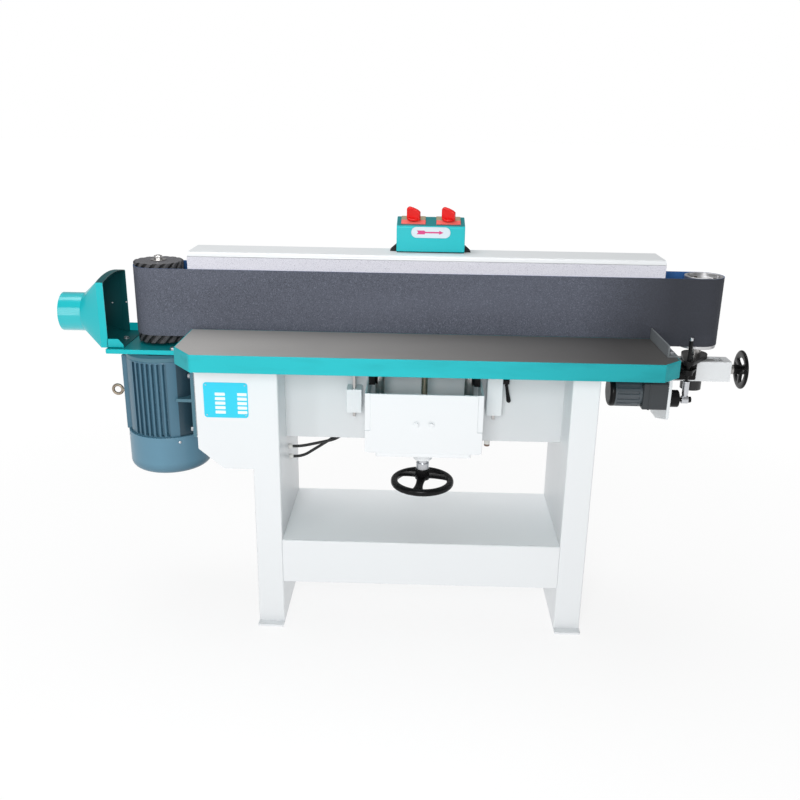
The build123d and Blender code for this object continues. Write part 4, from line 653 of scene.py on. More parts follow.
def grille(name, colour):
    """Cowl enamel with sixteen slots of painted shade round the middle of its underside, where the
    grille's openings are.

    A slot is where |frac(16 t / 2 pi) - 0.5| is under 0.22, r lies between 28 and 78 mm and z is at
    the bottom.
    """
    slots, half_slot, slot_from, slot_to = 16, 0.22, 0.028, 0.078
    f = paint(name, colour, 0.34, 0.06, **CAST_PEEL)
    x, y, z = f.axis(0), f.axis(1), f.axis(2)
    middle, floor = middle_of("motor_cowl") / 1000, place("motor_cowl")[0][2] / 1000 + 0.0015
    dx, dy = x - float(middle[0]), y - float(middle[1])
    far = f.node("ShaderNodeMath", {"operation": "SQRT"}, {0: dx * dx + dy * dy})
    turn = f.node("ShaderNodeMath", {"operation": "ARCTAN2"}, {0: dy, 1: dx})
    share = f.node("ShaderNodeMath", {"operation": "FRACT"}, {0: turn * (slots / (2 * pi)) + slots})
    # The slots are painted near black: painted shade of the grille's openings
    slot = (abs(share - 0.5) < half_slot) * (far > slot_from) * (far < slot_to) * (z < floor)
    # The turned-in foot and the side by the cabinet are darker: painted shade
    cowl_shade = 0.6 * (1 - f.step(z, floor, floor + 0.03)) + 0.45 * f.step(x, -0.66, -0.56)
    tone = f.mix(cowl_shade, f.tone(), shade(colour, 0.4))
    return f.set(Base_Color=f.mix(slot, tone, (0.008, 0.009, 0.01)))


def brushed(name, colour):
    """Hand-brushed enamel of the table's edges: long brush marks, and painted shade towards both
    ends.
    """
    f = paint(name, colour, 0.52, 0.06, peel=0.14, peel_scale=380)
    x = f.axis(0)
    marks = f.step(f.noise(30.0, 4, (0.2, 1, 1)), 0.5, 0.75)
    # Painted shade towards the right end and on the left chamfer
    ends = 0.47 * f.step(x, 0.05, 0.62) + 0.32 * (1 - f.step(x, -0.515, -0.5))
    worn_and_shaded = f.mix(ends + 0.2 * marks, f.tone(), shade(colour, 0.35))
    return f.set(Base_Color=worn_and_shaded, Specular_IOR_Level=0.12)


# Material and slot of pieces that are alike
WHITE = ("white_enamel", "frame_white")
BLACK = ("black_enamel", "black_steel")
ZINC = ("zinc_plate", "zinc_steel")
GROUND = ("bright_steel", "ground_steel")
MOULDED = ("wheel_black", "black_plastic")


class SANDER_OT_finishes(bpy.types.Operator):
    """Procedural finishes, and those of the nodes that keep their own mesh"""

    bl_idname = "sander.finishes"
    bl_label = "Finishes"

    def execute(self, context):
        c = context.scene.sander_colours
        # Lit and shaded copies of the frame's enamel: painted light on the shelf's top, painted
        # shade on the beam under the table
        for name, share in (("white_enamel", 1.0), ("white_enamel_clean", 1.28),
                            ("white_enamel_deep", 0.88)):
            paint(name, shade(c.frame, share), 0.36, 0.02)
        paint("turquoise_enamel", c.turquoise, 0.30).set(Specular_IOR_Level=0.35)
        # The port is polished by handling; the loft behind it is duller
        gloss = paint("turquoise_gloss", c.turquoise, 0.30)
        loft = gloss.step(gloss.axis(0), -0.867, -0.861)
        gloss.set(Coat_Weight=1.0 - 0.85 * loft, Specular_IOR_Level=0.3)
        brushed("turquoise_cast", c.edge)
        # Darker copy of the turquoise for top faces: painted shade
        paint("turquoise_shade", shade(c.turquoise, 0.4), 0.36, 0.12).set(Specular_IOR_Level=0.22)
        # Near-black turquoise: painted shade inside the hood and on its tray, painted dark
        # reflection on the collar's roof
        in_shade = paint("turquoise_dusty", shade(c.turquoise, 0.15), 0.42, 0.2, **CAST_PEEL)
        in_shade.set(Specular_IOR_Level=0.2)
        paint("motor_enamel", linear(72, 113, 128), 0.34, 0.06, **CAST_PEEL)
        # The hollow between the fins and the feet lies in shade
        case_blue = linear(70, 110, 130)
        case = paint("motor_case_enamel", case_blue, 0.34, 0.06, **CAST_PEEL)
        hollow = (case.axis(0) > -0.606) * 0.9
        case.set(Base_Color=case.mix(hollow, case.tone(), shade(case_blue, 0.26)))
        grille("motor_grille", c.motor)
        paint("gear_enamel", shade(c.gear, 0.55), 0.40, 0.08, **GEAR_PEEL)
        paint("gear_motor_enamel", shade(c.gear, 1.3), 0.40, 0.08, **GEAR_PEEL)
        black = paint("black_enamel", linear(13, 13, 14), 0.34, 0.12, **CAST_PEEL)
        black.set(Specular_IOR_Level=0.18)
        paint("fence_iron", linear(108, 113, 116), 0.42, 0.1, **CAST_PEEL)
        paint("label_film", linear(203, 217, 225), 0.42, 0.02, **PRINT_PEEL)
        paint("arrow_print", linear(206, 44, 120), 0.45, 0.05, **PRINT_PEEL)
        paint("plate_print_blue", c.print_blue, 0.40, 0.05, **PRINT_PEEL)
        paint("plate_cell", linear(228, 240, 246), 0.45, 0.03, **PRINT_PEEL)

        table_top("ground_iron", c.table)
        lathe_lines = {"stretch": (1, 1, 8), "scale": 160}
        metal("bright_steel", linear(188, 186, 184), 0.24, (1, 1, 0.05), 500)
        metal("turned_steel", linear(176, 174, 172), 0.27, **lathe_lines)
        metal("bright_drum", linear(206, 206, 207), 0.36, **lathe_lines)
        metal("zinc_plate", linear(200, 202, 206), 0.30, contrast=0.08)
        metal("dark_iron", linear(84, 80, 76), 0.45, contrast=0.2, tarnish=0.4)
        metal("screw_bronze", linear(164, 150, 132), 0.40, contrast=0.3, tarnish=0.5)
        metal("hook_steel", linear(168, 154, 138), 0.36, contrast=0.2, tarnish=0.4)
        metal("core_iron", linear(120, 118, 116), 0.42, (0.2, 0.2, 14), 120)
        # The slide is black below its bright sleeve
        slide = metal("slide_steel", linear(150, 150, 150), 0.34)
        lower = slide.axis(2) < 0.667
        slide.set(Base_Color=slide.mix(lower, slide.tone(), linear(24, 24, 26)),
                  Metallic=1.0 - lower)

        # The last value is the share of painted shade at the belt's bend by the idler
        grit("belt_grit", *(shade(c.belt, share) for share in (0.62, 1.28, 1.95)),
             520.0, 0.74, 0.0006, 0.25, 0.9)
        grit("belt_cloth", *(shade(c.backing, share) for share in (0.8, 1.1, 1.3)),
             1300.0, 0.78, 0.0003, 0.2)
        grit("graphite_felt", linear(196, 196, 206), linear(226, 226, 234), linear(164, 164, 178),
             700.0, 0.78, 0.0005, 0.1)
        grit("drum_rubber_black", linear(54, 54, 56), linear(80, 80, 83), linear(112, 112, 116),
             600.0, 0.55, 0.0002, 0.3)
        # Lighter rubber for the drum's end faces: painted light
        grit("drum_rubber_end", linear(66, 66, 69), linear(98, 98, 102), linear(132, 132, 137),
             600.0, 0.6, 0.0002, 0.3)

        for name, tone, rough in (
            ("groove_black", (10, 10, 11), 0.6), ("plug_brown", (136, 112, 100), 0.45),
            ("bevel_red", (226, 92, 84), 0.38), ("fan_nylon", (40, 41, 42), 0.5),
            ("gland_nylon", (226, 226, 222), 0.45), ("cable_pvc", (22, 22, 23), 0.45),
        ):
            plastic(name, linear(*tone), rough)
        plastic("wheel_black", linear(7, 7, 8), 0.28).set(Specular_IOR_Level=0.2)
        plastic("knob_red", c.knob, 0.24, coat=0.1).set(Specular_IOR_Level=0.25)
        plastic("plate_khaki", c.plate, 0.42)

        dress("core_iron", "motor_stator", "motor_rotor", "motor_bearings", "idler_bearings")
        dress("fan_nylon", "motor_fan")
        dress("turned_steel", "idler_spindle", "tension_screw")
        dress("zinc_plate", "lift_nut")
        dress("slide_steel", "slide_block")
        dress("cable_pvc", "cables")
        return {"FINISHED"}


class SANDER_OT_stand(bpy.types.Operator):
    """Folded-sheet legs with foot flanges, shelf with its deep apron, upper beam and head plate"""

    bl_idname = "sander.stand"
    bl_label = "Stand"

    def execute(self, context):
        fold = 1000 * context.scene.sander_shape.fold
        reach, flange, lap = 22.0, 6.0, 3.0
        for node in ("leg_left", "leg_right"):
            low, high = place(node)
            front, back = low[1] + reach, high[1] - reach
            surfaces = [box((low[0], front, 0), (high[0], back, high[2]), fold)]
            for near, far in ((low[1], front + lap), (back - lap, high[1])):
                surfaces.append(box((low[0], near, 0), (high[0], far, flange), 2.5, 0.8))
            piece(node + "_sheet", surfaces, *WHITE, [node])

        shelf, apron = place("shelf_plate"), place("front_apron")
        front, foot, top = apron[0][1], apron[0][2], apron[1][2]
        inside, under, back = shelf[0][1], shelf[0][2], shelf[1][1]
        profile = [(front, foot), (inside, foot), (inside, under),
                   (back, under), (back, top), (front, top)]
        sheet = prism(profile, shelf[0][0], shelf[1][0], "X", [1, 1, 2, 1, 1, 5], 0.4)
        plate = Skin().add(sheet)
        # The shelf's own faces lie at its height; they get a lighter enamel, painted light on a top
        # that the table shades
        plate.marks = np.where(face_middles(sheet)[:, 2] > top - 0.1, 1, 0).tolist()
        plate.piece("shelf_sheet", ["white_enamel", "white_enamel_clean"], "frame_white",
                    ["shelf_plate", "front_apron"])

        low, high = place("upper_beam")
        wall, floor = 4.0, low[2] + 24.0
        front, back, foot, top = low[1], high[1], low[2], high[2]
        profile = [
            (front, foot), (front + wall, foot), (front + wall, floor), (back, floor), (back, top),
            (back - wall, top), (back - wall, floor + wall), (front + wall, floor + wall),
            (front + wall, top), (front, top),
        ]
        beam = prism(profile, low[0], high[0], "X", [1, 1, 1, 4, 1, 1, 1, 1, 1, 1], 0.4)
        # The beam under the table takes the darker enamel: painted shade
        piece("beam_sheet", [beam], "white_enamel_deep", "frame_white", ["upper_beam"])
        piece("head_slab", [box(*place("head_plate"), 2.0)], *WHITE, ["head_plate"])
        return {"FINISHED"}


class SANDER_OT_cabinet(bpy.types.Operator):
    """Cabinet with its cut corner, the motor's rails and the riveted data plate of blank cells"""

    bl_idname = "sander.cabinet"
    bl_label = "Cabinet"

    def execute(self, context):
        fold = 1000 * context.scene.sander_shape.fold
        low, high = place("cabinet")
        rail, cut_wide, cut_tall = 36.0, 64, 54
        # The front runs on over the leg's fold, so that the two read as one sheet
        left, right = low[0] + rail, high[0] + fold + 0.3
        outline = [(left, high[2]), (right, high[2]), (right, low[2]),
                   (left + cut_wide, low[2]), (left, low[2] + cut_tall)]
        surfaces = [prism(outline, low[1], high[1], "Y", [fold, 0.2, 0.2, fold, fold], 0.3)]
        surfaces += foot_pads(middle_of("motor_frame")[1], low[0], left + 2, 2.0, 1.0)
        piece("cabinet_sheet", surfaces, *WHITE, ["cabinet"])

        low, high = place("data_plate")
        heading, pitch, tall, margin = 27, 12.0, 8, 7
        corners = rectangle(low[0], low[2], high[0], high[2])
        plate = Skin().add(prism(corners, low[1] + 0.2, high[1] + 0.2, "Y", 8.0, 0.25))
        # Two columns of five cells under a blank heading band
        for row in range(5):
            top = high[2] - heading - pitch * row
            for start, wide in ((29, 26), (86, 24)):
                left = low[0] + start
                cell = rectangle(left, top - tall, left + wide, top)
                plate.add(prism(cell, low[1], low[1] + 0.6, "Y", 1.4, 0.1, 2), 1)
        rivet = [(AXIS_POINT, -1.0), (1.2, -0.9), (1.9, -0.3), (2.0, 0.4), (AXIS_POINT, 0.4)]
        for x in (low[0] + margin, high[0] - margin):
            for z in (low[2] + margin, high[2] - margin):
                plate.add(lathe(rivet, (x, low[1] + 0.4, z), "Y", 16), 2)
        plate.piece("data_plate_print", ["plate_print_blue", "plate_cell", "zinc_plate"],
                    "plate_print", ["data_plate"])
        return {"FINISHED"}


class SANDER_OT_knee(bpy.types.Operator):
    """Knee box with guide tubes, step plate and boss, the two clamp brackets and the clamp lever"""

    bl_idname = "sander.knee"
    bl_label = "Knee and clamps"

    def execute(self, context):
        low, high = place("knee_box")
        mid = middle_of("lift_screw")
        wall, floor, notch_z, notch_wide, step_half = 5.0, low[2] + 44, 590.0, 13.5, 120
        left, right, inner = low[0] + notch_wide, high[0] - notch_wide, low[1] + wall
        # Front wall with rounded lower corners: a full sheet behind, and one with a notch in each
        # upper corner
        face = [(low[0], floor), (high[0], floor), (high[0], notch_z), (right, notch_z),
                (right, high[2]), (left, high[2]), (left, notch_z), (low[0], notch_z)]
        sheet = rectangle(low[0], floor, high[0], high[2])
        # The other three walls as one bent strip, the floor between them, the step plate under it,
        # the lift screw's boss and the tubes round the posts
        strip = [(low[0], inner), (low[0] + wall, inner), (low[0] + wall, high[1] - wall),
                 (high[0] - wall, high[1] - wall), (high[0] - wall, inner), (high[0], inner),
                 (high[0], high[1]), (low[0], high[1])]
        boss = rectangle(14.4, low[2], 24.5, floor - 10)
        surfaces = [
            prism(face, low[1], low[1] + 3.2, "Y", [9, 9, 2, 1, 2, 2, 1, 2], 1.2),
            prism(sheet, low[1] + 3, inner, "Y", [9, 9, 2, 2], 0.4),
            prism(strip, floor, high[2], "Z", [0.5, 0.5, 2, 2, 0.5, 0.5, 2, 2], 1.0),
            box((low[0] + 1, inner - 1, floor), (high[0] - 1, high[1] - 1, floor + wall), 2.0),
            box((mid[0] - step_half, inner, floor - 12), (mid[0] + step_half, high[1], floor + 1),
                6.0, 1.5),
            bored(boss, 1.2, (mid[0], mid[1], 0)),
        ]
        for x in post_middles():
            surfaces.append(ring(12.3, 17.0, floor + 3, 655.0, (x, mid[1], 0), "Z", 1.0, 40))
        piece("knee_shell", surfaces, *WHITE, ["knee_box"])

        brackets, bars = place("clamp_brackets"), place("lock_bars")
        front, back, under = brackets[0][1], brackets[1][1], brackets[0][2]
        half_bar, gap, reach, bridge, deep = 4.0, 4.6, 20, 6, 10.4
        blocks = []
        for x, top in ((bars[0][0] + half_bar, 658.0), (bars[1][0] - half_bar, brackets[1][2])):
            for near, far in ((x - reach, x - gap), (x + gap, x + reach)):
                blocks.append(box((near, front, under), (far, back, top), 2.0, 1.2))
            for near, far in ((front, front + deep), (back - deep, back)):
                blocks.append(box((x - bridge, near, under + 0.6), (x + bridge, far, top - 0.6),
                                  0.5, 0.4))
        piece("clamp_blocks", blocks, *WHITE, ["clamp_brackets"])

        pin = place("clamp_lever")[0][0]
        hub, hub_wide, long, droop = pin + 15.7, 18.0, 61.5, radians(10)
        at = np.array([0.0, (front + back) / 2, CLAMP_PIVOT_Z])
        down, side = np.array([sin(droop), 0.0, -cos(droop)]), np.array([cos(droop), 0, sin(droop)])
        # The handle's radius grows from 4.2 to 6.0 between s of 0.35 and 0.85; a dome ends it
        s = np.linspace(0, 1, 22)[:, None, None]
        t = circle(20)[None, :, None]
        thick = 4.2 + 1.8 * np.clip((s - 0.35) / 0.5, 0, 1) ** 1.5
        thick = thick * np.sqrt(np.clip(1 - np.clip((s - 0.88) / 0.12, 0, 0.985) ** 2, 0, 1))
        around = side * np.cos(t) - np.array([0.0, 1.0, 0.0]) * np.sin(t)
        handle = at + (hub + hub_wide / 2, 0, 0) + down * long * s + around * thick
        piece("clamp_handle_arm", [
            round_bar(10.0, hub, hub + hub_wide, at, "X", 2.0, 40),
            round_bar(5.0, pin, hub + 1, at, "X", 0.5, 24),
            stack(handle[::-1]),
        ], *MOULDED, ["clamp_lever"], "clamp_handle")
        return {"FINISHED"}


class SANDER_OT_table(bpy.types.Operator):
    """Table casting with its ground top, the stop fence, posts, blocks, lock bars and lift screw"""

    bl_idname = "sander.table"
    bl_label = "Table"

    def execute(self, context):
        edge = 1000 * context.scene.sander_shape.cast
        low, high = place("table_casting")
        mid = middle_of("lift_screw")
        left_post, right_post = post_middles()
        under, rib_half, rib_inset = high[2] - 20, 6, 14
        # Both front corners are cut off
        outline = [
            (low[0], high[1]), (low[0], low[1] + 70), (low[0] + 54, low[1]),
            (high[0] - 46, low[1]), (high[0], low[1] + 43), (high[0], high[1]),
        ]
        path = [(18.5, under), (16, under), (14.5, low[2]), (0, low[2]), (0, high[2]),
                (edge + 0.8, high[2])]
        profile = rounded(path, [0, 2, 1.5, 2, edge, 0], closed=False)
        table = Skin().add(skirt(outline, profile, "Z", 4.0))
        # The ground top is the last face; every other face is enamelled
        table.marks[-1] = 1
        for x in (-407.5, -97.5, 212.5, 522.5):
            table.add(box((x - rib_half, low[1] + rib_inset, low[2]),
                          (x + rib_half, high[1] - rib_inset, under + 2), 2.0, 1.2))
        for x in (left_post, mid[0], right_post):
            table.add(round_bar(26.0, low[2], under + 2, (x, mid[1], 0), "Z", 1.5, 56))
        table.piece("table_top_casting", ["turquoise_cast", "ground_iron"], "table_iron",
                    ["table_casting"], "table")

        low, high = place("stop_fence")
        leaf = 4
        corners = [(low[0], low[2]), (high[0], low[2]), (high[0], low[2] + leaf),
                   (low[0] + leaf, low[2] + leaf), (low[0] + leaf, high[2]), (low[0], high[2])]
        piece("fence_angle", [prism(corners, low[1], high[1], "Y", [1, 1, 1, 3, 1.2, 1.2], 0.6)],
              "fence_iron", "table_iron", ["stop_fence"], "table")
        low, high = place("fence_bolts")
        x, half_head = (low[0] + high[0]) / 2, 5.63
        heads = []
        for y in (low[1] + half_head, high[1] - half_head):
            heads += bolt((3.2, 8.4, low[2], low[2] + 1.2), (6.5, low[2] + 1.0, high[2], 0.8),
                          (x, y, 0))
        piece("fence_screws", heads, *ZINC, ["fence_bolts"], "table")

        low, high = place("guide_posts")
        surfaces = [round_bar(POST_R, low[2], high[2], (x, mid[1], 0), "Z", 1.5)
                    for x in (left_post, right_post)]
        piece("ground_posts", surfaces, *GROUND, ["guide_posts"], "table")
        piece("post_pads", end_boxes("post_blocks", 16, 2.0, 1.0), *BLACK, ["post_blocks"], "table")
        piece("lock_strips", end_boxes("lock_bars", 8, 1.2, 0.6), *GROUND, ["lock_bars"], "table")
        low, high = place("lift_screw")
        at = (mid[0], mid[1], 0)
        piece("lift_thread", [
            screw_thread(8.0, 0.9, 4.0, low[2], high[2], at),
            hexagon(14.0, 734.5, 748.5, at, "Z", 1.2),
        ], "screw_bronze", "dark_steel", ["lift_screw"], "table")
        return {"FINISHED"}


class SANDER_OT_lift_wheel(bpy.types.Operator):
    """Lift handwheel under the knee"""

    bl_idname = "sander.lift_wheel"
    bl_label = "Lift handwheel"

    def execute(self, context):
        mid, top = middle_of("lift_handwheel"), place("lift_handwheel")[1][2]
        surfaces = handwheel(
            (mid[0], mid[1], 0), "Z", radius=83.0, wire=(9.0, 9.0), hub=19.0, hub_span=(429.0, top),
            rim=421.0, root=439.0, spoke=(18.0, 10.0), first_turn=-100, bore=8.3)
        piece("lift_wheel_casting", surfaces, *MOULDED, ["lift_handwheel"], "lift_wheel")
        return {"FINISHED"}


class SANDER_OT_hood(bpy.types.Operator):
    """Base plate, bolts, and the dust hood: round port, loft to an arched mouth, and tray"""

    bl_idname = "sander.hood"
    bl_label = "Base plate and dust hood"

    def execute(self, context):
        low, high = place("base_plate")
        step, notch = place("table_casting")[0][0] - 10, 26
        outline = [(low[0], low[1]), (step, low[1]), (step, notch),
                   (high[0], notch), (high[0], high[1]), (low[0], high[1])]
        slab = Skin().add(prism(outline, low[2], high[2], "Z", [4, 4, 3, 3, 3, 4], 1.6))
        # The last face is the top, darker as painted shade
        slab.marks[-1] = 1
        slab.piece("base_slab", ["turquoise_enamel", "turquoise_shade"], "turquoise_paint",
                   ["base_plate"])

        low, high = place("dust_hood")
        axis_y, axis_z, bore, sheet = middle_of("drive_drum")[1], 815.0, 50.0, 2.0
        half, floor, top, arch = 92.5, BASE_TOP, 914.0, 11.0
        start, back = low[0], high[0]
        cone, collar, end = start + 61, start + 126, start + 144
        # The port is a circle. Round the mouth: knots of y and z against turns of 0 to 16 that
        # match the port's angle, and a top that rises by arch (1 - (y / w)^2)
        s = np.linspace(0, 16, 160, endpoint=False)
        knots = [0, 2, 6, 10, 14, 16]

        def mouth(depth):
            w, h = half - depth, (top - floor) / 2 - depth
            y = np.interp(s, knots, [w, w, -w, -w, w, w])
            z = np.interp(s, knots, [0, h, h, -h, -h, 0])
            crown = np.where((s > 2) & (s < 6), arch * (1 - (y / w) ** 2), 0)
            return axis_y + y, (floor + top) / 2 + z + crown

        def port(depth):
            turn = 2 * pi * s / 16
            r = bore + sheet - depth
            return axis_y + r * np.cos(turn), axis_z + r * np.sin(turn)

        # A row goes from the port to the mouth by its share; the inner skin runs back
        share = np.concatenate([[0, 0, 0, 0], np.linspace(0, 1, 9)[1:], [1, 1]])[:, None]
        x = np.concatenate([[start, start + 0.6, start + 30, cone - 0.3],
                            np.linspace(cone, collar, 9)[1:], [collar + 0.3, end]])[:, None]
        rows = []
        for depth, order in ((0.0, 1), (sheet, -1)):
            (py, pz), (my, mz) = port(depth), mouth(depth)
            grid = along(py + (my - py) * share, pz + (mz - pz) * share, x, "X")
            rows.append(grid[::order])
        hood = Skin().add(stack(np.concatenate(rows), loop=True))
        # The inner skin is the second half of the rows, less its two rims; it and the tray get
        # painted shade, and the collar's roof a painted dark reflection
        count = len(share)
        row = np.arange(len(hood.marks)) // len(s)
        roof = (row >= count - 3) & (row < count) & (np.abs(np.tile(s, 2 * count) - 4) < 1.95)
        hood.marks = np.where((row >= count) & (row < 2 * count - 1) | roof, 1, 0).tolist()
        tray = box((end - 2, axis_y - half, floor), (back, axis_y + half, floor + sheet), 1.0, 0.5)
        hood.add(tray, 1)
        lip = [(end - 2, floor), (back, floor), (back, floor + 9),
               (back - 13, floor + 24), (end - 2, floor + 24)]
        for y in (axis_y - half, axis_y + half - sheet):
            hood.add(prism(lip, y, y + sheet, "Y", [0.6, 1, 3, 3, 0.6], 0.5))
        # Rolled bead round the port, and two rivets inside
        hood.add(torus(bore + 0.6, 1.35, (start + 1.4, axis_y, axis_z), "X", 96, 12))
        rivet_z, rivet = 823.0, (2.6, 1.4)
        hood.add(screw_head((end - 3.5, axis_y + half - sheet, rivet_z), (0, -1, 0), *rivet), 2)
        hood.add(screw_head((end - 38.5, axis_y + 77.7, rivet_z), (0.53, -0.85, 0), *rivet), 2)
        hood.piece("hood_sheet", ["turquoise_gloss", "turquoise_dusty", "zinc_plate"],
                   "turquoise_paint", ["dust_hood"], sharp=28)

        # Bolts of the base plate, the tray, the knee's front and, on thick washers, the motor
        surfaces, tray_top = [], BASE_TOP + sheet
        for y in (0.0, 162.5):
            surfaces += bolt((5.2, 10.2, BASE_TOP, BASE_TOP + 1.6),
                             (9.0, BASE_TOP + 1.5, BASE_TOP + 6.5, 1.0), (-606.5, y, 0), sides=32)
        surfaces += bolt((3.6, 8.0, tray_top, tray_top + 1.2),
                         (6.5, tray_top + 1.1, tray_top + 5.5, 0.8), (-762.5, 96.5, 0))
        heads, knee = Skin(), place("knee_box")[0][1]
        for surface in surfaces:
            heads.add(surface)
        for x in (38.5, 76.5):
            for surface in bolt((3.6, 8.6, knee - 1.4, knee), (6.5, knee - 5.5, knee - 1.3, 0.8),
                                (x, 0, 609.0), "Y", turn=0.3):
                heads.add(surface, 1)
        foot = place("motor_frame")[1][0] - MOTOR_FOOT_BACK
        for y in (16.5, 176.5):
            for z in (512.0, 663.0):
                heads.add(hexagon(7.0, foot - 6, foot, (0, y, z), "X", 0.9))
                heads.add(round_bar(6.0, foot - 0.5, foot + 5, (0, y, z), "X", 0.5, 24))
        heads.piece("frame_screws", ["zinc_plate", "white_enamel"], "zinc_steel", ["frame_bolts"])
        return {"FINISHED"}


class SANDER_OT_drive_drum(bpy.types.Operator):
    """Drive drum with slanting grooves in its rubber, its washer and nut"""

    bl_idname = "sander.drive_drum"
    bl_label = "Drive drum"

    def execute(self, context):
        depth = 1000 * context.scene.sander_shape.groove
        low, high = place("drive_drum")
        centre = middle_of("drive_drum") * (1, 1, 0)
        radius, bore, count, wide, slope = (high[0] - low[0]) / 2, 20.0, 16, 8.0, 1.2
        # r = radius - depth g, with g a groove of flat floor wherever the slanting coordinate is
        # near a whole turn
        path = [(bore, low[2]), (radius, low[2]), (radius, high[2]), (bore, high[2])]
        edge = rounded(path, 2.0, closed=False)
        wall = np.linspace(low[2] + 3, high[2] - 3, 60)
        rim = np.flatnonzero(np.abs(edge[:, 0] - radius) < 1e-6)
        upright = np.stack([0 * wall + radius, wall], 1)
        rows = np.concatenate([edge[:rim[0] + 2], upright, edge[rim[-1] - 1:]])
        turn = circle(384)[None, :]
        r, h = rows[:, 0:1], rows[:, 1:2]
        slant = (turn - (h - low[2]) / radius) * count / (2 * pi)
        away = np.abs(slant - np.round(slant)) * 2 * pi * radius / count / sqrt(2)
        fade = np.clip((r - radius + 6) / 4, 0, 1)
        groove = np.clip((wide / 2 - away) / slope + 0.5, 0, 1) * fade
        r = r - depth * groove
        tyre = Skin().add(stack(along(r * np.cos(turn), r * np.sin(turn), h, "Z") + centre))
        # Faces on a groove's floor are blacker than the lands, painted shade; the end faces are
        # lighter, painted light
        floor = (groove + np.roll(groove, -1, 1))[:-1] > 1.2
        end = np.minimum(np.abs(rows[:-1, 1:] - low[2]), np.abs(rows[1:, 1:] - high[2])) < 0.3
        tyre.marks[:floor.size] = np.where(end, 2, np.where(floor, 1, 0)).ravel().tolist()
        tyre.piece("drum_tyre", ["drum_rubber_black", "groove_black", "drum_rubber_end"],
                   "drum_rubber", ["drive_drum"], "rotor", 40)

        low, high = place("drum_nut")
        stud, washer = 6.0, 3
        piece("drum_fastening", [
            bored(rectangle(stud, low[2], 21.0, low[2] + washer), 0.6, centre),
            hexagon(11.0, low[2] + washer - 0.1, high[2] - 1.5, centre, "Z", 1.0, 0.2),
            round_bar(stud, low[2] + washer, high[2], centre, "Z", 1.0, 28),
        ], "bright_steel", "zinc_steel", ["drum_nut"], "rotor")
        return {"FINISHED"}


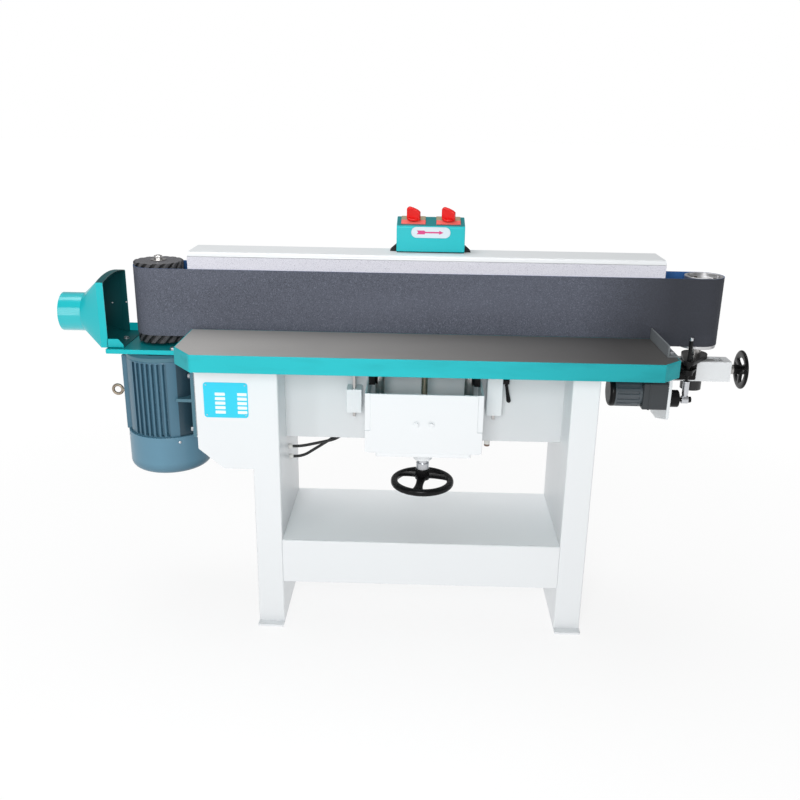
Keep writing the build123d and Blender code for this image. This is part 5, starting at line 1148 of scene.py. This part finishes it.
class SANDER_OT_motor(bpy.types.Operator):
    """Motor frame with upright grooves, feet and webs, end shields, fan cowl and eye bolt"""

    bl_idname = "sander.motor"
    bl_label = "Motor"

    def execute(self, context):
        axis = middle_of("drive_drum")
        at = (axis[0], axis[1], 0)
        low, high = place("motor_frame")
        radius, deep, margin, taper = 105.0, 12.0, 4.0, 3.5
        pitch, first, half_groove, slope = 14.7, -20.0, 4.1, 0.9
        # x = r cos t, y = r sin t; where x is within 4.1 of -20 + 14.7 k, k from -3 to 3, y comes
        # in by 12. The grooves narrow to nothing at both ends, 4 from the rims
        rim = np.array([0, 0, 0.8, 1.6])
        rise = np.concatenate([rim, margin + taper * (1 - np.cos(np.linspace(0, pi / 2, 6)))])
        heights = np.concatenate([low[2] + rise, np.linspace(low[2] + 9, high[2] - 9, 14),
                                  high[2] - rise[::-1]])[:, None]
        turn = circle(900)[None, :]
        x, y = radius * np.cos(turn), radius * np.sin(turn)
        offset = np.abs(x - first - pitch * np.clip(np.round((x - first) / pitch), -3, 3))
        end = np.minimum(heights - low[2], high[2] - heights) - margin
        narrow = half_groove * np.sqrt(np.clip(1 - np.clip(1 - end / taper, 0, 1) ** 2, 0, 1))
        inside = np.clip((narrow - offset) / slope + 0.5, 0, 1) * (end > 0)
        # Both rims are rounded, and a ring inside each end face carries it
        ends = np.ones(heights.shape)
        for row, share in enumerate((0.9, 1 - 1.4 / radius, 1 - 0.4 / radius)):
            ends[[row, -1 - row]] = share
        rings = along(x * ends, (y - np.sign(y) * deep * inside) * ends, heights, "Z")
        case = Skin().add(stack(rings + np.array(at)))
        foot, pad, web, web_low, web_high = high[0] - 14, 36, 101, 594.5, 603.5
        case.add(box((low[0], axis[1] - pad, low[2] + 2.3), (axis[0] - 90, axis[1] + pad, high[2]),
                     4.0, 1.5))
        case.add(box((axis[0] + 50, axis[1] - web, web_low), (foot + 2, axis[1] + web, web_high),
                     2.0, 1.5), 1)
        for surface in foot_pads(axis[1], foot, high[0], 3.0, 2.0):
            case.add(surface, 1)
        case.piece("motor_case", ["motor_case_enamel", "motor_enamel"], "motor_blue",
                   ["motor_frame"], sharp=32)

        low, high = place("motor_shields")
        bore, under_top, over_foot = 18.0, 490.0, 704.0
        under = [(bore, low[2]), (104, low[2]), (104, under_top), (bore, under_top)]
        over = [(bore, over_foot), (105, over_foot), (105, high[2] - 8), (97, high[2]),
                (bore, high[2])]
        piece("motor_ends", [
            turned(under, 0.8, at, sides=96),
            turned(over, [0, 0.6, 2, 2, 0], at, sides=96),
        ], "motor_enamel", "motor_blue", ["motor_shields"])

        low, high = place("motor_cowl")
        outer, inner, sheet = (high[0] - low[0]) / 2, 105.6, 2.0
        path = [(AXIS_POINT, low[2]), (outer, low[2]), (outer, high[2]), (inner, high[2]),
                (inner, high[2] - sheet), (outer - sheet, high[2] - sheet),
                (outer - sheet, low[2] + sheet), (AXIS_POINT, low[2] + sheet)]
        cowl = Skin().add(turned(path, [0, 20, 1.2, 0.4, 0.4, 0.4, 18, 0], at, "Z", 112, 6))
        for turn in radians(-62) + np.arange(4) * pi / 2:
            out = np.array([cos(turn), sin(turn), 0])
            cowl.add(screw_head(at + outer * out + (0, 0, 478.0), out, 4.2, 2.2), 1)
        cowl.piece("cowl_sheet", ["motor_grille", "zinc_plate"], "motor_blue", ["motor_cowl"])

        low, high = place("motor_eye_bolt")
        eye, wire = 13.0, 4.0
        spot = middle_of("motor_eye_bolt")
        hook, line = low[0] + eye + wire, (0, axis[1], spot[2])
        piece("motor_hook", [
            torus(eye, wire, (hook, axis[1], spot[2]), "Y", 56, 18),
            round_bar(5.0, hook + eye, high[0], line, "X", 0.5, 24),
            round_bar(9.0, high[0] - 7.5, high[0], line, "X", 1.0, 32),
        ], "hook_steel", "motor_blue", ["motor_eye_bolt"])
        return {"FINISHED"}


class SANDER_OT_belt(bpy.types.Operator):
    """Sanding belt: grit outside, blue cloth inside"""

    bl_idname = "sander.belt"
    bl_label = "Sanding belt"

    def execute(self, context):
        low, high = place("sanding_belt")
        first, second = middle_of("drive_drum")[:2], middle_of("idler_drum")[:2]
        drive_r, idler_r, thick, count = 66.5, 51.5, 1.2, 360
        # The long runs are divided so that the grit's pattern keeps its scale in the export
        outer, inner = (divided(loop_of(first, drive_r - depth, second, idler_r - depth, 72), count)
                        for depth in (0, thick))
        levels = [(outer, low[2]), (outer, high[2]), (inner, high[2]), (inner, low[2])]
        rings = np.array([along(path[:, 0], path[:, 1], z, "Z") for path, z in levels])
        belt = Skin().add(stack(rings, loop=True))
        # The first row of faces is the outside
        belt.marks[count:] = [1] * (len(belt.marks) - count)
        belt.piece("belt_strip", ["belt_grit", "belt_cloth"], "abrasive_cloth", ["sanding_belt"])
        return {"FINISHED"}


class SANDER_OT_platen(bpy.types.Operator):
    """Platen beam, its graphite facing and the white lid with a rounded front edge"""

    bl_idname = "sander.platen"
    bl_label = "Platen"

    def execute(self, context):
        low, high = place("platen_beam")
        base = place("base_plate")[1] + 0.3
        outline = [(base[0], low[2]), (high[0], low[2]), (high[0], high[2]), (low[0], high[2]),
                   (low[0], base[2]), (base[0], base[2])]
        body = prism(outline, low[1], high[1], "Y", 2.0, 1.5)
        piece("platen_body", [body], *WHITE, ["platen_beam"])
        piece("platen_facing", [box(*place("platen_pad"), 0.5, 0.4, "X")],
              "graphite_felt", "graphite_cloth", ["platen_pad"])
        beam = high[1]
        low, high = place("platen_lid")
        front, back, foot, top, sheet = low[1], high[1], low[2], high[2], 3
        outline = [(front, foot), (beam, foot), (beam, top - sheet), (back - sheet, top - sheet),
                   (back - sheet, foot), (back, foot), (back, top), (front, top)]
        lid = prism(outline, low[0], high[0], "X", [1, 1, 1, 1, 0.8, 0.8, 4, 11], 0.5, 6)
        piece("platen_cover", [lid], *WHITE, ["platen_lid"])
        return {"FINISHED"}


class SANDER_OT_switches(bpy.types.Operator):
    """Switch box with its sloping top, feet, plates, red knobs and the direction label"""

    bl_idname = "sander.switches"
    bl_label = "Switches"

    def execute(self, context):
        low, high = place("switch_box")
        front_top, shadow_strip_top, spread = low[2] + 69, low[2] + 2.5, 46.0
        slope = np.array([0.0, high[1] - low[1], high[2] - front_top])
        side, back = np.array([1.0, 0.0, 0.0]), unit(slope)
        up = unit(np.array([0.0, -slope[2], slope[1]]))
        middle = np.append(((low + high) / 2)[:2], (front_top + high[2]) / 2)
        outline = [(low[1], shadow_strip_top), (high[1], shadow_strip_top), (high[1], high[2]), (low[1], front_top)]
        shell = prism(outline, low[0], high[0], "X", [1, 1, 4, 5], 2.0)
        housing = Skin().add(shell)
        # Faces that lie in the plane of the sloping top, darker as painted shade
        housing.marks = np.where((face_middles(shell) - middle) @ up > -0.3, 1, 0).tolist()
        # A black strip under the housing stands in for the shadow of the gap below it: painted
        # shadow
        housing.add(box(low + (1, 1, 0), (high[0] - 1, high[1] - 1, shadow_strip_top + 1), 1.0, 0.4), 2)
        housing.piece("switch_housing", ["turquoise_enamel", "turquoise_shade", "black_enamel"],
                      "turquoise_paint", ["switch_box"])

        feet, thick = place("switch_feet"), 3
        front, rear = feet[0][1], feet[1][1]
        base, sole, rise = low[2], low[2] + thick, low[2] + 16
        surfaces = []
        for x, reach, way in ((low[0], feet[0][0], -1), (high[0], feet[1][0], 1)):
            leaf, rib = x + thick * way, x + 2 * way
            corners = [(x, base), (reach, base), (reach, sole),
                       (leaf, sole), (leaf, rise), (x, rise)]
            surfaces.append(prism(corners, front, rear, "Y", [0.8, 1, 1, 2, 1, 0.8], 0.5))
            gusset = [(rib, sole - 0.5), (reach, sole - 0.5), (rib, rise)]
            for y in (front, rear - thick):
                surfaces.append(prism(gusset, y, y + thick, "Y", [0.5, 0.8, 0.8], 0.4))
            spot = ((leaf + reach) / 2, (front + rear) / 2, sole)
            surfaces.append(screw_head(spot, (0, 0, 1), 3.6, 2.4))
        piece("switch_angles", surfaces, *BLACK, ["switch_feet"])

        # Flat khaki part behind, and a red strip that slopes down to the front
        plates, half = Skin(), 32
        flat = box((-half, -5, 0), (half, 25, 5), 2.0, 0.8)
        bevel = [(-25, 0), (-4, 0), (-4, 4.9), (-25, 2.2)]
        strip = prism(bevel, -half, half, "X", [0.8, 0.3, 0.6, 1.0], 1.0)
        for shift in (-spread, spread):
            for mark, part in enumerate((flat, strip)):
                plates.add(tilted(part, middle + side * shift, side, back, up), mark)
        plates.piece("switch_surrounds", ["plate_khaki", "bevel_red"], "switch_khaki",
                     ["switch_plates"])

        # Knobs: a round skirt and an upright fin, both turned by 20 degrees
        turn, seat = radians(-20), 5.3
        ahead = cos(turn) * side + sin(turn) * back
        over = cos(turn) * back - sin(turn) * side
        fin = [(-18, 0), (18, 0), (18, 21), (11, 26), (0, 29.8), (-11, 32), (-18, 31)]
        parts = [round_bar(17.5, 0.0, 5.0, (0, 0, 0), "Z", 1.6, 56),
                 prism(fin, -6.0, 6.0, "Y", [1, 1, 5, 14, 26, 14, 6], 2.6, 5)]
        for node, body, shift in (("switch_knob_left", "knob_left", -spread),
                                  ("switch_knob_right", "knob_right", spread)):
            origin = middle + side * shift + up * seat
            surfaces = [tilted(part, origin, ahead, over, up) for part in parts]
            piece(node + "_cap", surfaces, "knob_red", "red_plastic", [node], body)

        low, high = place("direction_label")
        (x, _, z), (wide, _, tall) = (low + high) / 2, (high - low) / 2
        pill = loop_of((z, x - wide + tall), tall, (z, x + wide - tall), tall, 24)
        film = tabs(pill[::-1], low[1] + 0.1, high[1], 0.1, "Y")
        piece("direction_film", [film], "label_film", "label_white", ["direction_label"])
        # Arrow that points to +X: notched tail, thin shaft and a plain head
        arrow = np.array([(-37, -4.9), (-17, -4.9), (-14, -1.9), (22, -1.9), (22, -5.2), (33, 0),
                          (22, 5.2), (22, 1.9), (-14, 1.9), (-17, 4.9), (-37, 4.9), (-33, 0)])
        mark = prism(arrow + (x, z), low[1] - 0.12, low[1] + 0.3, "Y", 0.3, 0.05, 2)
        piece("direction_arrow", [mark], "arrow_print", "label_white")
        return {"FINISHED"}


class SANDER_OT_tensioner(bpy.types.Operator):
    """Square tension tube with its slots and end plate, and the tension handwheel"""

    bl_idname = "sander.tensioner"
    bl_label = "Belt tension"

    def execute(self, context):
        low, high = place("tension_tube")
        mid = (low + high) / 2
        # The slot goes through top and bottom, the window through the front
        slot, slot_half, window, window_half = (741.0, 858.0), 18, (704.0, 765.0), 9
        # Tube wall as a grid round and along; cells inside a slot are left out, and Solidify gives
        # it its thickness
        corners = rounded(rectangle(low[1], low[2], high[1], high[2]), 1.5)
        slot_sides = rectangle(mid[1] - slot_half, low[2], mid[1] + slot_half, high[2])
        window_sides = [(low[1], mid[2] - window_half), (low[1], mid[2] + window_half)]
        around = np.concatenate([corners, slot_sides, window_sides])
        around = around[np.argsort(np.arctan2(around[:, 1] - mid[2], around[:, 0] - mid[1]))]
        x = np.array([low[0], 600.0, window[0], slot[0], window[1], slot[1], high[0] - 0.5])
        points, faces = stack(along(around[:, 0], around[:, 1], x[:, None], "X"))
        faces = np.array(faces[:-2])
        x, y, z = points[faces].mean(1).T
        in_slot = (np.abs(y - mid[1]) < slot_half) & (x > slot[0]) & (x < slot[1])
        in_window = (y < low[1] + 1) & (np.abs(z - mid[2]) < window_half)
        in_window &= (x > window[0]) & (x < window[1])
        kept = faces[~(in_slot | in_window)].tolist()
        tube = piece("tension_beam", [(points, kept)], *WHITE, ["tension_tube"])
        tube.data.polygons.foreach_set("use_smooth", np.zeros(len(kept), bool))
        wall = tube.modifiers.new("wall", "SOLIDIFY")
        wall.thickness, wall.offset, wall.use_even_offset = 0.004, -1.0, True
        gap = np.array([0, 4.2, 4.2])
        plate = box((high[0] - 8, *(low + gap)[1:]), high - gap, 0.5, 0.5, "X")
        piece("tension_end", [plate], *WHITE)

        low, high = place("tension_handwheel")
        at = (0, mid[1], mid[2])
        surfaces = handwheel(
            at, "X", radius=52.5, wire=(10.0, 4.5), hub=13.0, hub_span=(low[0], high[0]),
            rim=914.5, root=914.5, spoke=(14.0, 9.0), first_turn=30, bore=6.0)
        surfaces.append(round_bar(5.8, low[0] + 2, high[0] - 1, at, "X", 0.8, 28))
        piece("tension_wheel_casting", surfaces, *MOULDED, ["tension_handwheel"], "tension_wheel")
        return {"FINISHED"}


class SANDER_OT_idler(bpy.types.Operator):
    """Idler drum with its recessed top, spindle arm and guide rod"""

    bl_idname = "sander.idler"
    bl_label = "Idler"

    def execute(self, context):
        low, high = place("idler_drum")
        mid = (low + high) / 2
        at = mid * (1, 1, 0)
        radius, bore, rim, floor = (high[0] - low[0]) / 2, 26.2, 7, high[2] - 12
        path = [(bore, low[2]), (radius, low[2]), (radius, high[2]), (radius - rim, high[2]),
                (radius - rim, floor), (bore, floor)]
        drum = Skin().add(bored(path, [0.8, 1.5, 1.0, 1.0, 1.5, 0.6], at, "Z", 96))
        # Four screw heads round the recess
        for turn in radians(20) + np.arange(4) * pi / 2:
            spot = at + 34.5 * np.array([cos(turn), sin(turn), 0])
            drum.add(hexagon(4.6, floor - 0.1, floor + 3.5, spot), 1)
        drum.piece("idler_shell", ["bright_drum", "dark_iron"], "ground_steel", ["idler_drum"],
                   "idler")

        low, high = place("spindle_arm")
        end = middle_of("guide_rod")
        arm = loop_of(mid[:2], 34.0, end[:2], 14.0, 40)
        piece("spindle_lever", [tabs(arm, low[2], high[2], 1.4)], *BLACK, ["spindle_arm"],
              "spindle")
        # The rod: a thin stud from its foot to its shoulder, the rod and a bright tip
        foot, shoulder, top = 671.0, 694.0, place("guide_rod")[1][2]
        stud_r, rod_r, tip = 3.5, 5.0, top - 9
        path = [(AXIS_POINT, foot), (stud_r, foot), (stud_r, shoulder), (rod_r, shoulder),
                (rod_r, tip), (AXIS_POINT, tip)]
        at = end * (1, 1, 0)
        guide = Skin().add(turned(path, [0, 0.6, 0.4, 0.4, 0.3, 0], at, "Z", 32, 3, 0.1))
        guide.add(round_bar(rod_r - 0.1, tip - 0.2, top, at, "Z", 1.4, 32), 1)
        guide.piece("guide_pin", ["black_enamel", "zinc_plate"], "dark_steel", ["guide_rod"],
                    "spindle")
        return {"FINISHED"}


class SANDER_OT_oscillator(bpy.types.Operator):
    """Guide bracket, gear plate, gearbox with its finned motor, crank and link rod"""

    bl_idname = "sander.oscillator"
    bl_label = "Oscillation drive"

    def execute(self, context):
        fin = 1000 * context.scene.sander_shape.fin
        low, high = place("guide_bracket")
        pin, eye, lug_foot = middle_of("guide_rod"), 14, 700.0
        plate_y = high[1] - 9
        # Lug with a half-round nose about the rod, and a gusset beside it
        t = np.linspace(pi, 2 * pi, 24)
        nose = np.stack([pin[0] + eye * np.cos(t), pin[1] + eye * np.sin(t)], 1)
        lug = np.concatenate([[(pin[0] - eye, plate_y + 1)], nose, [(pin[0] + eye, plate_y + 1)]])
        edge_x = pin[0] + eye - 1
        gusset = [(edge_x, plate_y + 1), (edge_x, pin[1] + 2), (high[0] - 1, plate_y + 1)]
        piece("rod_bracket", [
            box((low[0], plate_y, low[2]), high, 3.0, 1.5, "Y"),
            prism(lug, lug_foot, lug_foot + 15, "Z", [0.5] + [0.3] * 24 + [0.5], 1.2, 3),
            prism(gusset, lug_foot, lug_foot + 6, "Z", [0.8, 2, 2], 0.8),
        ], *BLACK, ["guide_bracket"], "carriage")

        low, high = place("gear_plate")
        tube, tail, tail_top = place("tension_tube")[0][1] - 0.6, high[1], low[2] + 100
        outline = [(low[1], low[2] + 30), (tube, low[2]), (tail, low[2]), (tail, tail_top),
                   (tube, tail_top), (tube, high[2]), (low[1], high[2])]
        piece("gear_bracket", [prism(outline, low[0], high[0], "X", 2.0)], *WHITE, ["gear_plate"],
              "carriage")

        low, high = place("gearbox")
        seam, lip, margin = low[0] + 17, 1.2, 12
        surfaces = [
            box(low, high, 6.0, 3.0, "X", 5),
            box((seam - 2, low[1] - lip, low[2] - lip), (seam + 2, high[1] + lip, high[2] + lip),
                6.5, 0.8, "X", 4),
        ]
        for y in (low[1] + margin, high[1] - margin):
            for z in (low[2] + margin, high[2] - margin):
                surfaces.append(round_bar(5.0, low[0] - 2.4, low[0] + 0.5, (0, y, z), "X", 0.8, 24))
        piece("gear_housing", surfaces, "gear_enamel", "gear_grey", ["gearbox"], "carriage")

        low, high = place("gear_motor")
        line = middle_of("gear_motor") * (0, 1, 1)
        radius, cap, fins = (high[2] - low[2]) / 2, low[0] + 13, 16
        # Body r = radius - fin (1 - k), k a square wave of 16 fins; plain rings at both ends; a
        # black cap on the left
        x = np.array([cap, cap + 0.4, cap + 5, cap + 6, high[0] - 8, high[0] - 7, high[0]])[:, None]
        finned = np.array([0, 0, 0, 1, 1, 0, 0])[:, None]
        turn = circle(576)[None, :]
        wave = np.clip(0.5 + 2.4 * np.cos(fins * turn), 0, 1)
        r = radius - 0.4 - fin * (1 - wave) * finned
        r = np.where(x < cap + 0.2, r - 3, r)
        body = Skin().add(stack(along(r * np.cos(turn), r * np.sin(turn), x, "X") + line))
        path = [(AXIS_POINT, low[0]), (radius, low[0]), (radius, cap + 0.1), (10.0, cap + 0.1)]
        body.add(turned(path, [0, 8, 1.0, 0], line, "X", 72, 5, 0.3), 1)
        body.piece("gear_motor_case", ["gear_motor_enamel", "black_enamel"], "gear_grey",
                   ["gear_motor"], "carriage")

        end, pin = place("crank")[1][0], (0, CRANK_Y, CRANK_PIN_Z)
        neck, disc, face = 699.5, 703, 730
        path = [(AXIS_POINT, neck), (12, neck), (12, disc), (23, disc), (23, face),
                (AXIS_POINT, face)]
        piece("crank_disc", [
            turned(path, [0, 0.5, 0.5, 2.0, 2.0, 0], (0, CRANK_Y, CRANK_Z), "X", 64, 4, 0.3),
            round_bar(5.5, face - 1, end - 4, pin, "X", 0.6, 28),
            hexagon(8.5, end - 7.0, end, pin, "X", 1.2, 0.5),
        ], *BLACK, ["crank"], "crank")

        low, high = place("link_rod")
        foot, cone, cup, stem_r, cup_r = 640.0, 648.0, 664.0, 8.5, 6.6
        path = [(AXIS_POINT, foot), (6.5, foot), (stem_r, cone), (stem_r, high[2]),
                (cup_r, high[2]), (cup_r, cup), (AXIS_POINT, cup)]
        at = ((low[0] + high[0]) / 2, CRANK_Y, 0)
        piece("link_stem", [
            bored(rectangle(5.8, low[0], 10.5, high[0]), 1.0, pin, "X"),
            turned(path, [0, 1, 2, 1.0, 0.5, 0.5, 0], at, "Z", 40),
        ], *ZINC, ["link_rod"], "link")
        return {"FINISHED"}


class SANDER_OT_cables(bpy.types.Operator):
    """Sleeves, grommets, the supply inlet and the plugged gland of the wiring"""

    bl_idname = "sander.cables"
    bl_label = "Cable sleeves"

    def execute(self, context):
        leg, wire = place("leg_left")[1][0], 4.1
        sleeve = [(wire, leg), (7.0, leg), (7.0, leg + 6), (5.4, leg + 11), (wire, leg + 11)]
        grommet = rectangle(wire, 526.5, 6.5, 537.5)
        sleeves = Skin()
        for y, z in ((39.0, 428.0), (29.0, 462.0)):
            sleeves.add(bored(sleeve, [0.4, 0.6, 1.2, 0.8, 0.4], (0, y, z), "X", 36, lead=0.1))
        for x, y in ((-168.5, 35.0), (-149.5, 23.0)):
            sleeves.add(bored(grommet, 0.8, (x, y, 0), "Z", 36, lead=0.1))
        inlet, gland = (-429.5, 148.0, 0), (233.5, 30.0, 0)
        sleeves.add(round_bar(11.0, 447.0, 458.0, inlet, "Z", 1.6, 40))
        sleeves.add(round_bar(7.8, 476.0, 484.0, gland, "Z", 2.0, 36), 1)
        nut, waist, foot, top = 8.0, 6.4, 482.0, 530.0
        path = [(AXIS_POINT, foot), (nut, foot), (nut, 499.0), (waist, 500.0), (waist, 504.0),
                (nut, 505.0), (nut, top), (AXIS_POINT, top)]
        sleeves.add(turned(path, [0, 1, 0.6, 0.3, 0.3, 0.6, 1, 0], gland, "Z", 36, 3, 0.1))
        sleeves.piece("cable_sleeves", ["gland_nylon", "plug_brown"], "gland_plastic",
                      ["cable_glands"])
        return {"FINISHED"}


# Sizes and colours that a user would change

def colour_prop(name, description, red, green, blue):
    """Colour property from display values."""
    return bpy.props.FloatVectorProperty(
        name=name, description=description, subtype="COLOR", size=3, min=0.0, max=1.0,
        default=linear(red, green, blue))


def length_prop(name, description, millimetres):
    """Length property from millimetres."""
    return bpy.props.FloatProperty(
        name=name, description=description, unit="LENGTH", min=0.0, default=millimetres / 1000)


class SanderColours(bpy.types.PropertyGroup):
    """Colours of the main finishes."""

    frame: colour_prop("Frame", "Off-white enamel of the stand, cabinet and knee", 223, 226, 228)
    turquoise: colour_prop("Turquoise", "Enamel of the hood and switch box", 0, 180, 188)
    edge: colour_prop("Table edge", "Brushed enamel of the table's edges", 42, 178, 186)
    table: colour_prop("Table top", "Ground iron of the table's top", 176, 174, 171)
    motor: colour_prop("Motor", "Slate blue enamel of the motor", 90, 134, 156)
    gear: colour_prop("Gear motor", "Dark grey enamel of the gear motor", 62, 68, 73)
    belt: colour_prop("Belt grit", "Abrasive side of the belt", 88, 92, 104)
    backing: colour_prop("Belt backing", "Cloth side of the belt", 52, 104, 168)
    knob: colour_prop("Knobs", "Red plastic of the switch knobs", 222, 28, 25)
    plate: colour_prop("Switch plates", "Khaki plates under the knobs", 150, 140, 110)
    print_blue: colour_prop("Data plate", "Cyan ground of the data plate", 36, 200, 228)


class SanderShape(bpy.types.PropertyGroup):
    """Small sizes that the solids leave out."""

    fold: length_prop("Sheet fold", "Outer radius of a folded sheet edge", 4.0)
    cast: length_prop("Casting edge", "Rounding of the table casting's edges", 2.5)
    groove: length_prop("Drum groove", "Depth of the grooves in the drive drum's rubber", 4.0)
    fin: length_prop("Gear motor fin", "Height of the fins on the gear motor", 3.0)


class SanderStage(bpy.types.PropertyGroup):
    """Camera, floor and light."""

    lens: bpy.props.FloatProperty(
        name="Lens", description="Focal length on a 36 mm sensor, in millimetres",
        default=39.6, min=1.0)
    key: bpy.props.FloatProperty(
        name="Key light", description="Power of the large front light, in watts",
        default=40.6, min=0.0)
    sky: bpy.props.FloatProperty(
        name="Surround", description="Strength of the white surround", default=0.34, min=0.0)
    floor: colour_prop("Floor", "Pale studio floor", 246, 246, 246)


class SANDER_OT_stage(bpy.types.Operator):
    """Pale floor, soft lights and the camera of the photograph"""

    bl_idname = "sander.stage"
    bl_label = "Stage, light and camera"

    def execute(self, context):
        look, link = context.scene.sander_stage, context.scene.collection.objects.link
        black, white = (0.0, 0.0, 0.0), (1.0, 1.0, 1.0)
        # The floor shines more and more by itself away from the machine
        f = Finish("studio_floor")
        x, y = f.axis(0), f.axis(1)
        radius = f.node("ShaderNodeMath", {"operation": "SQRT"}, {0: x * x + y * y})
        far = 0.8 + 0.2 * f.step(radius, 0.4, 2.2)
        near = f.mix(f.noise(0.7, 2), shade(look.floor, 0.985), look.floor)
        f.set(Base_Color=f.mix(far, near, black), Emission_Color=f.mix(far, black, white),
              Emission_Strength=1.0, Roughness=0.7 + 0.06 * f.noise(5.0, 2), Specular_IOR_Level=0.1)
        # Disc of r from 0.05 to 30 m, closed at its middle: rings of 72 points on the floor
        r, t = np.array([0.05, 1.0, 3.0, 8.0, 30.0])[:, None], circle(72)[None, :]
        points, faces = stack(along(r * np.cos(t), r * np.sin(t), -0.0005, "Z"))
        mesh = bpy.data.meshes.new("studio_floor")
        mesh.from_pydata(points.tolist(), [], [face[::-1] for face in faces[:-1]])
        mesh.materials.append(f.material)
        floor = bpy.data.objects.new("studio_floor", mesh)
        link(floor)

        # The surround is white to the eye and softer as a light
        world = bpy.data.worlds.new("studio_white")
        world.use_nodes = True
        nodes, links = world.node_tree.nodes, world.node_tree.links
        back = nodes["Background"]
        back.inputs[0].default_value = (*white, 1)
        seen = nodes.new("ShaderNodeLightPath").outputs["Is Camera Ray"]
        power = nodes.new("ShaderNodeMapRange")
        power.inputs["To Min"].default_value = look.sky
        power.inputs["To Max"].default_value = 1.0
        links.new(seen, power.inputs["Value"])
        links.new(power.outputs[0], back.inputs[1])
        context.scene.world = world
        context.scene.view_settings.view_transform = "Standard"

        # Place, aim, size in metres and share of the key's power
        lights = [
            ("key_light", (-0.25, -2.7, 1.55), (0.0, 0.0, 0.7), (1.0, 1.0), 1.0),
            ("fill_light", (1.9, -3.2, 1.4), (0.1, 0.0, 0.7), (1.8, 1.8), 0.104),
            ("window_light", (-1.9, -2.3, 1.3), (-0.6, 0.0, 0.8), (0.35, 2.0), 0.187),
            ("top_light", (-0.6, 0.4, 3.6), (0.0, 0.0, 0.8), (2.6, 2.6), 1.607),
        ]
        for name, spot, aim, size, share in lights:
            data = bpy.data.lights.new(name, "AREA")
            data.shape, data.energy = "RECTANGLE", share * look.key
            data.size, data.size_y = size
            light = bpy.data.objects.new(name, data)
            light.location = spot
            light.rotation_euler = (Vector(aim) - Vector(spot)).to_track_quat("-Z", "Y").to_euler()
            link(light)

        eye = (0.0411, -2.2270, 1.3712)
        pitch, yaw, roll = radians(18.79), radians(-1.22), radians(-0.89)
        ahead = np.array([sin(yaw) * cos(pitch), cos(yaw) * cos(pitch), -sin(pitch)])
        right = np.array([cos(yaw), -sin(yaw), 0.0])
        down = np.cross(ahead, right)
        side = cos(roll) * right + sin(roll) * down
        under = cos(roll) * down - sin(roll) * right
        data = bpy.data.cameras.new("camera")
        data.sensor_width, data.lens = 36.0, look.lens
        data.clip_start, data.clip_end = 0.05, 100.0
        camera = bpy.data.objects.new("camera", data)
        turn = np.eye(4)
        turn[:3] = np.stack([side, -under, -ahead, eye], 1)
        camera.matrix_world = Matrix(turn.tolist())
        link(camera)
        context.scene.camera = camera
        return {"FINISHED"}


STEPS = [
    SANDER_OT_finishes, SANDER_OT_stand, SANDER_OT_cabinet, SANDER_OT_knee, SANDER_OT_table,
    SANDER_OT_lift_wheel, SANDER_OT_hood, SANDER_OT_drive_drum, SANDER_OT_motor, SANDER_OT_belt,
    SANDER_OT_platen, SANDER_OT_switches, SANDER_OT_tensioner, SANDER_OT_idler,
    SANDER_OT_oscillator, SANDER_OT_cables, SANDER_OT_stage,
]
GROUPS = {
    "sander_colours": SanderColours, "sander_shape": SanderShape, "sander_stage": SanderStage}


class SANDER_PT_panel(bpy.types.Panel):
    """Sidebar list of the sander's steps."""

    bl_idname = "SANDER_PT_panel"
    bl_label = "Edge sander"
    bl_space_type = "VIEW_3D"
    bl_region_type = "UI"
    bl_category = "Sander"

    def draw(self, context):
        for step in STEPS:
            self.layout.operator(step.bl_idname)
        for group in ("sander_shape", "sander_colours", "sander_stage"):
            values = getattr(context.scene, group)
            for key in values.bl_rna.properties.keys():
                if key not in ("rna_type", "name"):
                    self.layout.prop(values, key)


def register():
    for key, group in GROUPS.items():
        bpy.utils.register_class(group)
        setattr(bpy.types.Scene, key, bpy.props.PointerProperty(type=group))
    for made in [*STEPS, SANDER_PT_panel]:
        bpy.utils.register_class(made)


def unregister():
    for made in [SANDER_PT_panel, *reversed(STEPS)]:
        bpy.utils.unregister_class(made)
    for key, group in GROUPS.items():
        delattr(bpy.types.Scene, key)
        bpy.utils.unregister_class(group)


def main():
    """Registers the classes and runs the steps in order."""
    register()
    for step in STEPS:
        group, name = step.bl_idname.split(".")
        getattr(getattr(bpy.ops, group), name)()


if __name__ == "__main__":
    main()
